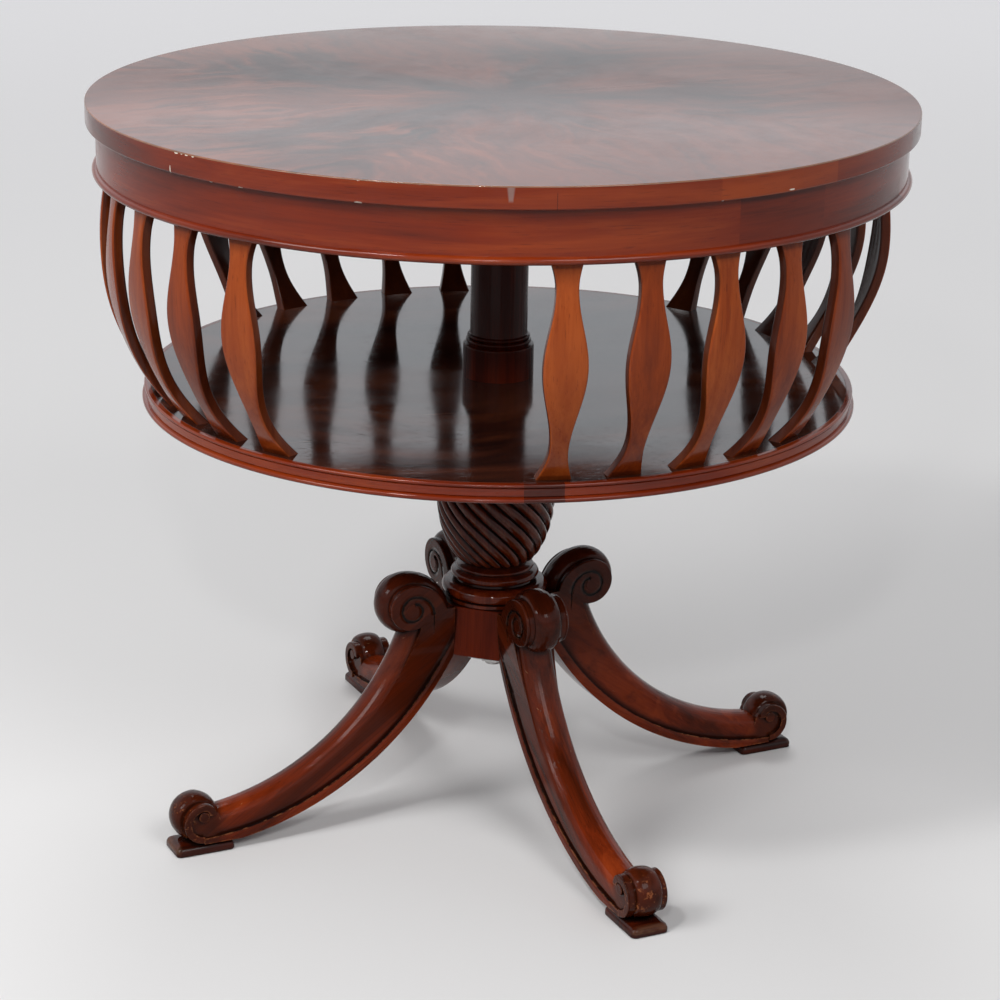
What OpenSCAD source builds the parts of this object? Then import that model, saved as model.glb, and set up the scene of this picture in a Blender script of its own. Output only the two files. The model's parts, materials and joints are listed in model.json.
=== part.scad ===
// Revolving drum table: a round top on a slatted drum that turns on a carved four-legged pedestal.
// Millimetres, +Z up, origin on the floor under the spindle. The legs stand on the diagonals of X and Y.

/* [Table top] */
// Diameter over the edge of the top
top_d = 762; // [700:2:820]
// Thickness of the top
top_t = 20; // [16:1:26]
// Width of the solid lipping round the veneered panel
lipping_w = 15; // [10:1:30]
// Rounding of the lipping's lower arris
lipping_round = 2; // [1:0.5:5]
// Thickness of the veneered face, which reaches over the lipping to the edge
veneer_t = 1.2; // [0.8:0.1:2]

/* [Apron] */
// How far the top overhangs the apron
overhang = 9; // [4:1:16]
// Height of the plain apron
apron_h = 40; // [30:1:60]
// Thickness of the apron and of the bead rail under it
apron_t = 22; // [20:1:30]
// Height of the bead rail
bead_h = 7; // [5:0.5:9]
// How far the bead stands out of the apron
bead_out = 4; // [2:0.5:6]
// Number of glue blocks between apron and top
block_count = 12; // [8:2:16]
// Length of a glue block
block_len = 44; // [30:2:60]
// Height and width of a glue block
block_side = 20; // [14:1:28]

/* [Slats] */
// Number of slats in each of the four groups
slats_per_group = 5; // [3:1:5]
// Angle between two slats of a group
slat_pitch = 11.2; // [10.4:0.1:12]
// Height of the drum's open compartment
slat_h = 199; // [170:1:230]
// Thickness of a slat
slat_t = 10; // [8:0.5:12]
// Width of a slat at its top
slat_top_w = 27.4; // [24:0.2:32]
// Width of the upper neck of a slat
slat_neck_w = 19; // [17:0.2:22]
// Width of the belly of a slat
slat_belly_w = 37.7; // [32:0.2:42]
// Width of the lower neck of a slat
slat_ankle_w = 16; // [14:0.2:20]
// Width of a slat at its foot
slat_foot_w = 30.5; // [26:0.2:36]
// Setback of a slat's outer face from the face of the apron, at its top
slat_set_top = 8; // [6:0.5:10]
// Setback of a slat's foot from the edge of the shelf
slat_set_foot = 14; // [10:0.5:20]
// How far a slat bulges past the line between its ends
slat_bulge = 36; // [26:1:42]
// Length of the tenon at a slat's top
tenon_top = 13; // [9:1:20]
// Length of the tenon at a slat's foot
tenon_foot = 8; // [5:1:11]
// Thickness of both tenons
tenon_t = 6; // [4:0.5:7]
// Width of both tenons
tenon_w = 14; // [10:1:15]
// How far the drum is turned from square with the legs at rest
drum_turn = 5.3; // [-10:0.1:10]

/* [Shelf] */
// Diameter over the shelf's lower bead
shelf_d = 670; // [620:2:700]
// Thickness of the shelf
shelf_t = 16.5; // [15:0.5:22]
// Width of the moulded frame round the shelf board
rim_w = 40; // [36:1:60]
// Height of the shelf's lower bead
rim_bead_h = 4.6; // [3:0.2:6]
// Height of the shelf's upper bead
rim_top_bead_h = 3.6; // [2.4:0.2:4.6]

/* [Centre post] */
// Diameter of the turned post
post_d = 54; // [44:0.5:60]
// Diameter of the collar at the foot of the post
collar_d = 67; // [62:0.5:80]
// Height of that collar
collar_h = 31.5; // [24:0.5:48]
// Depth of the housing in the shelf for the foot of the post
post_housing = 4; // [2:0.5:6]
// Diameter of the block that fixes the post under the top
head_block_d = 160; // [120:2:200]
// Thickness of that block
head_block_t = 20; // [16:1:26]
// Diameter of the spigot at the top of the post
post_spigot_d = 34; // [30:1:40]
// Length of that spigot
spigot_h = 12; // [8:1:15]

/* [Bearing] */
// Diameter of the steel spindle
spindle_d = 16; // [12:0.5:18]
// How far the spindle reaches up inside the post
spindle_reach = 122; // [80:1:150]
// Wall of the brass bushes
bush_wall = 5; // [3:0.5:7]
// Length of the shelf bush above the shelf, inside the post
bush_up = 12; // [8:1:20]
// Length of the upper bush
upper_bush_len = 20; // [14:1:30]
// Thickness of each steel bearing plate
plate_t = 2.5; // [2:0.1:4]
// Outer diameter of the bearing plates
plate_d = 152; // [140:2:170]
// Diameter of the hole in the bearing plates
plate_hole_d = 44; // [40:1:52]
// Diameter of the circle that the balls run on
ball_circle_d = 120; // [112:1:124]
// Number of balls
ball_count = 16; // [8:1:24]
// Diameter of a ball
ball_d = 8; // [7:0.5:9]
// Depth of the race in each plate
race_depth = 0.5; // [0.4:0.1:0.9]
// Thickness of the ball cage
cage_t = 2; // [1.5:0.1:3]
// Thickness of the nut on top of the pedestal
cap_nut_h = 7; // [5:0.5:9]
// Thickness of the nut under the hub
low_nut_h = 12; // [8:1:16]
// Thickness of the washer under the hub
washer_t = 2.5; // [1.5:0.5:4]
// Thickness of the steel plate under the hub
hub_plate_t = 3; // [2:0.5:5]

/* [Pedestal] */
// Diameter of the turned cap under the bearing
cap_d = 184; // [164:2:220]
// Thickness of that cap
cap_t = 16; // [12:1:24]
// Height of the turned neck between cap and vase
neck_h = 39.5; // [30:0.5:60]
// Smallest diameter of that neck
neck_d = 52; // [44:1:60]
// Height of the spiral vase
vase_h = 100; // [85:1:130]
// Largest diameter of the vase
vase_d = 114; // [104:1:126]
// Diameter of the vase where it meets the base turning
vase_foot_d = 67; // [60:1:72]
// Diameter of the vase at its top
vase_top_d = 80; // [70:1:90]
// Number of reeds carved on the vase
reed_count = 22; // [16:1:24]
// Depth of the grooves between the reeds
reed_depth = 3.5; // [2:0.1:5]
// How far the reeds turn from the top of the vase to its foot
reed_turn = 112; // [60:1:150]
// Diameter of the large torus of the base turning
torus_d = 102; // [94:1:110]
// Height of that torus
torus_h = 13; // [9:0.5:16]
// Diameter of the small ring above it
ring_d = 85; // [78:1:92]
// Height of that ring
ring_h = 8; // [5:0.5:10]
// Height of the fillet under the torus
fillet_h = 4.5; // [3:0.5:6]
// Height of the cove between torus and ring
cove_h = 3; // [2:0.5:4]
// Height of the seat for the vase, above the ring
vase_seat_h = 9; // [8:0.5:12]
// Height of the hub block that the legs join
hub_h = 50; // [46:1:60]
// Distance across the hub between two opposite legs
hub_across_legs = 103; // [99:0.5:108]
// Distance across the hub between two opposite bare faces
hub_across = 98; // [94:0.5:102]

/* [Legs] */
// Height of the hub's underside above the floor
hub_z = 162.5; // [155:0.5:170]
// Distance from the axis to the centre of a foot scroll
leg_reach = 308; // [290:1:320]
// Width of a leg over its lower band
leg_w = 37; // [34:0.5:42]
// Step from the band to the body on each side
band_step = 2; // [1:0.25:3]
// Height of the band
band_h = 9; // [6:0.5:12]
// Radius of the leg's underside
leg_under_r = 302; // [294:1:310]
// Radius of the leg's upper side
leg_over_r = 233; // [227:1:237]
// Height of the lowest point of the underside's arc, which the foot pad cuts off
leg_low = 6.4; // [5:0.1:8]
// Depth of the leg at its lowest point
leg_deep = 33.1; // [30:0.1:36]
// Depth of the leg at its neck under the top scroll
leg_neck = 53.6; // [50:0.1:57]
// Height of the neck above the hub's underside
neck_up = 16.5; // [12:0.5:20]
// Drop from the crest of a leg's upper side to its sides
crown_drop = 11; // [6:0.5:14]
// Height above the floor at which a leg's sides begin to spread
cheek_z = 142; // [136:1:150]
// Diameter of the side scrolls at the top of a leg
volute_d = 45; // [40:1:48]
// Width over the top scrolls
volute_w = 43; // [41:0.5:48]
// Diameter of the convex drum between the top scrolls
roll_d = 60; // [54:1:63]
// Extra radius of the quarter turn by which a top scroll leaves the hub
volute_lead = 15; // [10:0.5:18]
// Width of the side scrolls, on each side of the drums between them
flange_w = 7.5; // [6:0.5:9]
// Width of the carved spiral line on a top scroll
line_w = 1.8; // [1.4:0.1:2.4]
// Depth of that line
line_depth = 1.2; // [0.8:0.1:2]
// Diameter of a foot scroll
toe_d = 40; // [37:1:42]
// Width over the foot scrolls
toe_w = 40; // [38:0.5:44]
// Diameter of the convex drum between the foot scrolls
toe_roll_d = 46; // [43:1:48]
// Width of the band that curls round a foot scroll
toe_band = 7; // [6:0.5:9]
// Diameter of the eyes of the scrolls
eye_d = 13; // [10:0.5:14]
// Thickness of the foot pads
pad_t = 10; // [8:0.5:14]
// Length of a foot pad
pad_len = 58; // [50:1:66]
// Bevel round the top of a foot pad
pad_bevel = 3; // [1:0.5:4]
// Diameter of the dowels that hold a leg
dowel_d = 10; // [8:0.5:12]
// Length of a dowel
dowel_len = 46; // [36:1:48]

/* [Fits] */
// Clearance round fixed joints, on each side
slip = 0.05; // [0.03:0.01:0.1]
// Running clearance of spindle and balls, on each side
run_gap = 0.05; // [0.02:0.01:0.1]
// Diameter of the steel wood screws
screw_d = 4; // [3:0.5:5]

/* [Hidden] */
$fn = 96;
eps = 0.01;

slats_per_side = 2 * slats_per_group;
SLATS = [for (side = ["right", "left"], i = [1 : slats_per_side]) str("slat_", side, "_", i)];
LEGS = ["leg_front_left", "leg_front_right", "leg_back_right", "leg_back_left"];

mahogany = "#6b2a18";
dark_mahogany = "#4a1a10";
flame_veneer = "#7d3a24";
oak = "#a9804f";
steel = "silver";
brass = "#b99a4a";

// Heights, from the floor up
turning_h = fillet_h + torus_h + cove_h + ring_h + vase_seat_h;
hub_top = hub_z + hub_h;
vase_z = hub_top + turning_h;
neck_z = vase_z + vase_h;
cap_z = neck_z + neck_h;
cap_top = cap_z + cap_t;
race_gap = ball_d + 2 * run_gap - 2 * race_depth;
upper_plate_z = cap_top + plate_t + race_gap;
shelf_z = upper_plate_z + plate_t;
shelf_top = shelf_z + shelf_t;
bead_z = shelf_top + slat_h;
apron_z = bead_z + bead_h;
top_z = apron_z + apron_h;
table_h = top_z + top_t;
ball_z = cap_top + plate_t + race_gap / 2;
spindle_top = shelf_top + spindle_reach;

// Radii
apron_r = top_d / 2 - overhang;
rim_r = shelf_d / 2;
board_r = rim_r - rim_w;
spindle_r = spindle_d / 2;
bush_r = spindle_r + run_gap + bush_wall;
leg_face = hub_across_legs / 2;
plate_screw_len = 14;
screw_circle_r = plate_hole_d / 2 + 13;
head_screw_r = head_block_d / 2 - 22;
head_screw_len = head_block_t + 12;

// Points on an arc about c
function arc(c, r, a0, a1, n = 10) =
    [for (i = [0 : n]) let (a = a0 + (a1 - a0) * i / n) c + r * [cos(a), sin(a)]];

// Smooth step from a to b
function ease(a, b, t) = a + (b - a) * (1 - cos(180 * t)) / 2;
// Step from a to b that leaves a gently and arrives at its steepest
function flare(a, b, t) = a + (b - a) * (1 - cos(90 * t));

module turn(profile) rotate_extrude($fn = 180) polygon(profile);
module round_y(r, w) rotate([90, 0, 0]) cylinder(r = r, h = w, center = true, $fn = 180);
module around(n, start = 0) for (i = [0 : n - 1]) rotate(start + i * 360 / n) children();

// Countersunk wood screw with its head's face at z = 0, pointing up
module wood_screw(len, gap = 0) {
    cylinder(r1 = screw_d + gap, r2 = screw_d / 2 + gap, h = screw_d / 2);
    cylinder(r = screw_d / 2 + gap, h = len - screw_d);
    translate([0, 0, len - screw_d - eps])
        cylinder(r1 = screw_d / 2 + gap, r2 = 0.4, h = screw_d + eps);
}

// Table top and apron

module table_top() color(flame_veneer) {
    panel_r = top_d / 2 - lipping_w - slip;
    translate([0, 0, top_z]) difference() {
        turn(concat(
            [[0, 0], [panel_r, 0], [panel_r, top_t - veneer_t], [top_d / 2, top_t - veneer_t]],
            arc([top_d / 2 - veneer_t, top_t - veneer_t], veneer_t, 15, 90, 5),
            [[0, top_t]]));
        head_block_fixings(-top_z, slip);
    }
}

module top_lipping() color(mahogany)
    translate([0, 0, top_z]) turn(concat(
        [[top_d / 2 - lipping_w, 0]],
        arc([top_d / 2 - lipping_round, lipping_round], lipping_round, -90, 0, 6),
        [[top_d / 2, top_t - veneer_t], [top_d / 2 - lipping_w, top_t - veneer_t]]));

module apron() color(mahogany)
    difference() {
        translate([0, 0, apron_z]) turn([
            [apron_r - apron_t, 0], [apron_r, 0], [apron_r, apron_h], [apron_r - apron_t, apron_h]]);
        slat_tenons(2 * slip, 0.5);
    }

module apron_bead() color(mahogany)
    difference() {
        translate([0, 0, bead_z]) turn(concat(
            [[apron_r - apron_t, 0], [apron_r, 0]],
            [for (p = arc([0, bead_h / 2], 1, -90, 90, 12))
                [apron_r + bead_out * p[0], bead_h / 2 + (p[1] - bead_h / 2) * bead_h / 2]],
            [[apron_r, bead_h], [apron_r - apron_t, bead_h]]));
        slat_tenons(2 * slip, 0.5);
    }

module glue_blocks() color(oak)
    intersection() {
        translate([0, 0, top_z - block_side]) cylinder(r = apron_r - apron_t - slip, h = block_side);
        around(block_count, drum_turn + 180 / block_count)
            translate([apron_r - apron_t, 0, top_z]) rotate([90, 0, 0])
                linear_extrude(block_len, center = true)
                    polygon([[0, 0], [-block_side, 0], [-block_side, -block_side / 3],
                             [-block_side / 3, -block_side], [0, -block_side]]);
    }

// Centre post and its fixing under the top

head_block_z = top_z - head_block_t;

module head_block_fixings(dz, gap)
    translate([0, 0, dz]) around(4, drum_turn + 45)
        translate([head_screw_r, 0, head_block_z]) wood_screw(head_screw_len, gap);

module post_head_block() color(oak)
    difference() {
        translate([0, 0, head_block_z]) cylinder(d = head_block_d, h = head_block_t);
        translate([0, 0, head_block_z - eps])
            cylinder(r = post_spigot_d / 2 + slip, h = spigot_h + 0.5 + eps);
        head_block_fixings(0, slip);
    }

module head_block_screws() color(steel) head_block_fixings(0, 0);

module centre_post() color(mahogany) {
    post_r = post_d / 2;
    collar_r = collar_d / 2;
    bore_r = bush_r + slip;
    step = (collar_r - post_r) * 0.6;
    soft = 2;
    bead_r = 2.2;
    low_bead_z = collar_h + 3;
    high_bead_z = collar_h + 7.4;
    post_h = head_block_z - shelf_top;
    difference() {
        translate([0, 0, shelf_top]) turn(concat(
            [[0, -post_housing], [collar_r, -post_housing], [collar_r, collar_h - soft]],
            arc([collar_r - soft, collar_h - soft], soft, 0, 90, 4),
            [[post_r + step, low_bead_z - bead_r - 0.5]],
            arc([post_r + step - bead_r, low_bead_z], bead_r, -60, 90, 6),
            [[post_r + 1, high_bead_z - bead_r + 0.1]],
            arc([post_r + 0.5, high_bead_z], bead_r, -60, 90, 6),
            [[post_r, high_bead_z + bead_r + 1.5], [post_r, post_h], [post_spigot_d / 2, post_h],
             [post_spigot_d / 2, post_h + spigot_h], [0, post_h + spigot_h]]));
        translate([0, 0, shelf_top - post_housing - eps])
            cylinder(r = bore_r, h = spindle_reach + post_housing + 4);
    }
}

// Slats

// A slat's outer face in the plane of radius and height, from t = 0 at the top to 1 at the shelf
slat_top_r = apron_r - slat_set_top;
slat_foot_r = rim_r - slat_set_foot;
slat_handles = [
    [slat_top_r, bead_z],
    [slat_top_r + slat_bulge / 3, bead_z - slat_h * 0.29],
    [slat_top_r + slat_bulge / 3, shelf_top + slat_h * 0.31],
    [slat_foot_r, shelf_top]];
function slat_face(t) =
    pow(1 - t, 3) * slat_handles[0] + 3 * pow(1 - t, 2) * t * slat_handles[1]
    + 3 * (1 - t) * t * t * slat_handles[2] + pow(t, 3) * slat_handles[3];
// The same point moved inwards by d, square to the face
function slat_inner(t, d) =
    let (a = slat_face(t - 0.01), b = slat_face(t + 0.01), run = (b - a) / norm(b - a))
    slat_face(t) - d * [-run[1], run[0]];

// Half width of a slat, from s = 0 at the shelf to 1 at its top
ankle_s = 0.17;
belly_s = 0.55;
neck_s = 0.89;
function slat_half(s) = 0.5 * (
    s < ankle_s ? flare(slat_ankle_w, slat_foot_w, 1 - s / ankle_s)
    : s < belly_s ? ease(slat_ankle_w, slat_belly_w, (s - ankle_s) / (belly_s - ankle_s))
    : s < neck_s ? ease(slat_belly_w, slat_neck_w, (s - belly_s) / (neck_s - belly_s))
    : flare(slat_neck_w, slat_top_w, (s - neck_s) / (1 - neck_s)));

module slat() {
    steps = 30;
    ts = [for (i = [0 : 24]) -0.06 + 1.2 * i / 24];
    intersection() {
        rotate([90, 0, 0]) linear_extrude(slat_belly_w + 20, center = true)
            polygon(concat([for (t = ts) slat_face(t)],
                           [for (i = [len(ts) - 1 : -1 : 0]) slat_inner(ts[i], slat_t)]));
        rotate([90, 0, 90]) linear_extrude(top_d)
            polygon(concat(
                [for (i = [0 : steps]) [slat_half(i / steps), shelf_top + slat_h * i / steps]],
                [for (i = [steps : -1 : 0]) [-slat_half(i / steps), shelf_top + slat_h * i / steps]]));
    }
    slat_pegs();
}

// The tenons of one slat; gap widens them and deep lengthens them, for their mortises
foot_run = slat_face(1.01) - slat_face(0.99);
foot_mid_r = slat_foot_r - slat_t / 2 * norm(foot_run) / abs(foot_run[1]);
module slat_pegs(gap = 0, deep = 0) {
    t = tenon_t + 2 * gap;
    w = tenon_w + 2 * gap;
    translate([slat_top_r - slat_t / 2 - t / 2, -w / 2, bead_z - 1]) cube([t, w, tenon_top + deep + 1]);
    translate([foot_mid_r - t / 2, -w / 2, shelf_top - tenon_foot - deep])
        cube([t, w, tenon_foot + deep + 3]);
}

// Each side's slats stand in two groups, a quarter turn apart
function slat_angle(i, side) =
    let (group = floor((i - 1) / slats_per_group), place = (i - 1) % slats_per_group)
    drum_turn + side * 180 + (group - 0.5) * 90 + (place - (slats_per_group - 1) / 2) * slat_pitch;
module slat_at(i, side) color(mahogany) rotate(slat_angle(i, side)) slat();
module slat_tenons(gap, deep)
    for (side = [0, 1], i = [1 : slats_per_side]) rotate(slat_angle(i, side)) slat_pegs(gap, deep);

// Shelf

module shelf_board() color(flame_veneer)
    difference() {
        translate([0, 0, shelf_z]) cylinder(r = board_r - slip, h = shelf_t, $fn = 180);
        translate([0, 0, shelf_z - eps]) cylinder(r = bush_r + slip, h = shelf_t + 2 * eps);
        translate([0, 0, shelf_top - post_housing])
            cylinder(r = collar_d / 2 + slip, h = post_housing + eps, $fn = 180);
        upper_plate_fixings(slip);
    }

module shelf_rim() color(mahogany)
    difference() {
        band_r = rim_r - 3.4;
        top_r = rim_r - 2;
        quirk = 0.8;
        translate([0, 0, shelf_z]) turn(concat(
            [[board_r, 0]],
            arc([rim_r - rim_bead_h / 2, rim_bead_h / 2], rim_bead_h / 2, -90, 90, 8),
            [[band_r - quirk, rim_bead_h + quirk / 2], [band_r, rim_bead_h + 1.5 * quirk],
             [band_r, shelf_t - rim_top_bead_h - quirk],
             [band_r - quirk, shelf_t - rim_top_bead_h]],
            arc([top_r - rim_top_bead_h / 2, shelf_t - rim_top_bead_h / 2],
                rim_top_bead_h / 2, -70, 90, 8),
            [[board_r, shelf_t]]));
        slat_tenons(2 * slip, 0.5);
    }

// Bearing between pedestal and drum

module shelf_bush() color(brass)
    difference() {
        translate([0, 0, shelf_z]) cylinder(r = bush_r, h = shelf_t + bush_up);
        translate([0, 0, shelf_z - eps])
            cylinder(r = spindle_r + run_gap, h = shelf_t + bush_up + 2 * eps);
    }

module upper_bush() color(brass)
    difference() {
        translate([0, 0, spindle_top - upper_bush_len]) cylinder(r = bush_r, h = upper_bush_len);
        translate([0, 0, spindle_top - upper_bush_len - eps])
            cylinder(r = spindle_r + run_gap, h = upper_bush_len + 2 * eps);
    }

module race() rotate_extrude($fn = 180)
    translate([ball_circle_d / 2, 0]) circle(r = ball_d / 2 + run_gap, $fn = 48);

module bearing_plate(z)
    difference() {
        translate([0, 0, z]) cylinder(d = plate_d, h = plate_t);
        translate([0, 0, z - eps]) cylinder(d = plate_hole_d, h = plate_t + 2 * eps);
        translate([0, 0, ball_z]) race();
    }

module upper_plate_fixings(gap)
    around(4, drum_turn) translate([screw_circle_r, 0, upper_plate_z]) wood_screw(plate_screw_len, gap);
module upper_bearing_plate() color(steel)
    difference() { bearing_plate(upper_plate_z); upper_plate_fixings(slip); }
module upper_plate_screws() color(steel) upper_plate_fixings(0);

module lower_plate_fixings(gap)
    around(4) translate([screw_circle_r, 0, cap_top + plate_t])
        mirror([0, 0, 1]) wood_screw(plate_screw_len, gap);
module lower_bearing_plate() color(steel)
    difference() { bearing_plate(cap_top); lower_plate_fixings(slip); }
module lower_plate_screws() color(steel) lower_plate_fixings(0);

module bearing_balls() color(steel)
    around(ball_count) translate([ball_circle_d / 2, 0, ball_z]) sphere(d = ball_d, $fn = 32);

cage_gap = 0.15;
module ball_cage() color(brass)
    difference() {
        translate([0, 0, ball_z - cage_t / 2]) difference() {
            cylinder(r = ball_circle_d / 2 + ball_d, h = cage_t);
            translate([0, 0, -eps]) cylinder(r = ball_circle_d / 2 - ball_d, h = cage_t + 2 * eps);
        }
        around(ball_count) translate([ball_circle_d / 2, 0, ball_z - cage_t])
            cylinder(r = ball_d / 2 + cage_gap, h = 2 * cage_t);
    }

nut_across_flats = spindle_d * 1.5;
washer_d = spindle_d * 2.1;
spindle_tail = 4;
spindle_chamfer = 2;
hub_plate_z = hub_z - hub_plate_t;
washer_z = hub_plate_z - washer_t;
low_nut_z = washer_z - low_nut_h;
spindle_z = low_nut_z - spindle_tail;

module spindle() color(steel) {
    translate([0, 0, spindle_z]) cylinder(r = spindle_r, h = spindle_top - spindle_chamfer - spindle_z);
    translate([0, 0, spindle_top - spindle_chamfer])
        cylinder(r1 = spindle_r, r2 = spindle_r - spindle_chamfer, h = spindle_chamfer);
}

module hex_nut(h) difference() {
    cylinder(d = nut_across_flats / cos(30), h = h, $fn = 6);
    translate([0, 0, -eps]) cylinder(r = spindle_r + slip, h = h + 2 * eps);
}

module spindle_nuts() color(steel) {
    translate([0, 0, cap_top]) hex_nut(cap_nut_h);
    translate([0, 0, low_nut_z]) hex_nut(low_nut_h);
    translate([0, 0, washer_z]) difference() {
        cylinder(d = washer_d, h = washer_t);
        translate([0, 0, -eps]) cylinder(r = spindle_r + slip, h = washer_t + 2 * eps);
    }
}

// Pedestal column, from the cap down

module bored(z, h) difference() {
    children();
    translate([0, 0, z - 1]) cylinder(r = spindle_r + slip, h = h + 2);
}

module pedestal_cap() color(dark_mahogany)
    difference() {
        edge_h = 5;
        edge_step = 2;
        bored(cap_z, cap_t) translate([0, 0, cap_z]) turn(concat(
            [[0, 0], [cap_d / 2 - cap_t, 0]],
            [for (p = arc([0, 0], 1, -90, 0, 10))
                [cap_d / 2 - cap_t + (cap_t - edge_step) * p[0], (cap_t - edge_h) * (1 + p[1])]],
            [[cap_d / 2, cap_t - edge_h], [cap_d / 2, cap_t], [0, cap_t]]));
        lower_plate_fixings(slip);
    }

module pedestal_neck() color(dark_mahogany) {
    foot_r = vase_top_d / 2 - reed_depth;
    head_r = neck_d / 2 + 16;
    head_bead_r = 6;
    foot_h = 3;
    waist_t = 0.4;
    cove_h = neck_h - foot_h - 2 * head_bead_r;
    bored(neck_z, neck_h) translate([0, 0, neck_z]) turn(concat(
        [[0, 0], [foot_r, 0], [foot_r, foot_h]],
        [for (i = [0 : 14]) let (t = i / 14)
            [neck_d / 2 + (t < waist_t ? (foot_r - 2 - neck_d / 2) * pow(1 - t / waist_t, 2)
                           : (head_r - head_bead_r - neck_d / 2) * pow((t - waist_t) / (1 - waist_t), 2)),
             foot_h + cove_h * t]],
        arc([head_r - head_bead_r, neck_h - head_bead_r], head_bead_r, -90, 90, 8),
        [[0, neck_h]]));
}

// Radius of the vase over its reeds, from t = 0 at its foot to 1 at its top
shoulder_t = 0.66;
function vase_r(t) =
    t < shoulder_t
    ? let (s = t / shoulder_t)
        vase_foot_d / 2 + (vase_d - vase_foot_d) / 2 * pow(s * (2 - s), 0.7)
    : let (s = (t - shoulder_t) / (1 - shoulder_t))
        vase_top_d / 2 + (vase_d - vase_top_d) / 2 * sqrt(max(0, 1 - s * s));
reed_points = 6;
vase_rings = 24;
// Heights crowd where the profile turns fast, at the foot and at the shoulder
function vase_t(i) = let (u = i / vase_rings) ease(0, 1, u) * 0.6 + u * 0.4;

module spiral_vase() color(dark_mahogany) {
    n = reed_count * reed_points;
    bore = spindle_r + 1;
    outer = [for (i = [0 : vase_rings]) let (t = vase_t(i))
        [for (j = [0 : n - 1]) let (
            a = j * 360 / n,
            swell = abs(cos(a * reed_count / 2)),
            r = vase_r(t) - reed_depth * (1 - swell),
            turned = a - reed_turn * t)
            [r * cos(turned), r * sin(turned), vase_z + vase_h * t]]];
    inner = [for (k = [0, 1]) [for (j = [0 : n - 1]) let (a = j * 360 / n - reed_turn * k)
        [bore * cos(a), bore * sin(a), vase_z + vase_h * k]]];
    rings = vase_rings + 1;
    low = rings * n;
    high = low + n;
    shift = round(reed_turn * n / 360);
    quads = concat(
        [for (i = [0 : vase_rings - 1], j = [0 : n - 1])
            [i * n + j, i * n + (j + 1) % n, (i + 1) * n + (j + 1) % n, (i + 1) * n + j]],
        [for (j = [0 : n - 1])
            [low + j, low + (j + 1) % n, (j + 1) % n, j]],
        [for (j = [0 : n - 1])
            [vase_rings * n + j, vase_rings * n + (j + 1) % n, high + (j + 1) % n, high + j]],
        [for (j = [0 : n - 1]) let (k = j + shift)
            [high + k % n, high + (k + 1) % n, low + (j + 1) % n, low + j]]);
    faces = [for (q = quads) each [[q[2], q[1], q[0]], [q[3], q[2], q[0]]]];
    polyhedron(points = [for (ring = concat(outer, inner)) each ring], faces = faces);
}

module base_turning() color(dark_mahogany) {
    torus_r = torus_d / 2;
    torus_z = fillet_h + torus_h / 2;
    ring_z = fillet_h + torus_h + cove_h + ring_h / 2;
    seat_r = vase_foot_d / 2;
    bored(hub_top, turning_h) translate([0, 0, hub_top]) turn(concat(
        [[0, 0], [torus_r - 3, 0], [torus_r - 3, fillet_h - 1], [torus_r - torus_h / 2, fillet_h]],
        arc([torus_r - torus_h / 2, torus_z], torus_h / 2, -90, 90, 12),
        [[ring_d / 2 - ring_h / 2 - 1, fillet_h + torus_h + cove_h]],
        arc([ring_d / 2 - ring_h / 2, ring_z], ring_h / 2, -90, 90, 8),
        [[seat_r + 4, ring_z + ring_h / 2 + 1]],
        arc([seat_r + 2, ring_z + ring_h / 2 + 3], 2, -60, 90, 5),
        [[seat_r, turning_h - 2], [seat_r - reed_depth, turning_h], [0, turning_h]]));
}

// Hub, and what holds the legs to it

dowel_edge = 14;
dowel_zs = [hub_z + dowel_edge, hub_z + hub_h - dowel_edge];
dowel_start = leg_face - dowel_len / 2;
module dowels(gap = 0, deep = 0)
    for (z = dowel_zs) translate([dowel_start - deep, 0, z]) rotate([0, 90, 0])
        cylinder(d = dowel_d + 2 * gap, h = dowel_len + 2 * deep);

module leg_dowels() color(oak) around(4, 45) dowels();

hub_plate_r = hub_across / 2 - 6;
hub_screw_r = hub_plate_r - 10;
hub_screw_len = 18;
module hub_plate_fixings(gap)
    around(4) translate([hub_screw_r, 0, hub_plate_z]) wood_screw(hub_screw_len, gap);

module hub_block() color(mahogany)
    difference() {
        bored(hub_z, hub_h) intersection() {
            translate([-hub_across / 2, -hub_across / 2, hub_z]) cube([hub_across, hub_across, hub_h]);
            rotate(45) translate([-leg_face, -leg_face, hub_z])
                cube([hub_across_legs, hub_across_legs, hub_h]);
        }
        around(4, 45) dowels(slip, 0.5);
        hub_plate_fixings(slip);
    }

module hub_plate() color(steel)
    difference() {
        translate([0, 0, hub_plate_z]) cylinder(r = hub_plate_r, h = hub_plate_t);
        translate([0, 0, hub_plate_z - 1]) cylinder(r = spindle_r + slip, h = hub_plate_t + 2);
        hub_plate_fixings(slip);
    }

module hub_plate_screws() color(steel) hub_plate_fixings(0);

// Legs, drawn along +X

// Centre of an arc of radius r with its lowest point at height low, which rises inwards through p
function arc_centre(p, r, low) =
    let (rise = p[1] - low) [p[0] + sqrt(2 * r * rise - rise * rise), low + r];
under_c = arc_centre([leg_face, hub_z], leg_under_r, leg_low);
over_c = arc_centre([leg_face + leg_neck, hub_z + neck_up], leg_over_r, leg_low + leg_deep);
volute_c = [leg_face + 44, hub_top + 5];
toe_c = [leg_reach, pad_t + toe_d / 2 + 1.5];
toe_roll_c = [toe_c[0] + 4.5, pad_t + toe_roll_d / 2 + 1.5];

module at_rz(c) translate([c[0], 0, c[1]]) children();

// A disc across the leg with rounded edges
module disc_y(r, w, edge = 1.5) rotate([90, 0, 0]) rotate_extrude($fn = 120) polygon(concat(
    [[0, -w / 2]],
    arc([r - edge, edge - w / 2], edge, -90, 0, 4),
    arc([r - edge, w / 2 - edge], edge, 0, 90, 4),
    [[0, w / 2]]));

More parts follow.
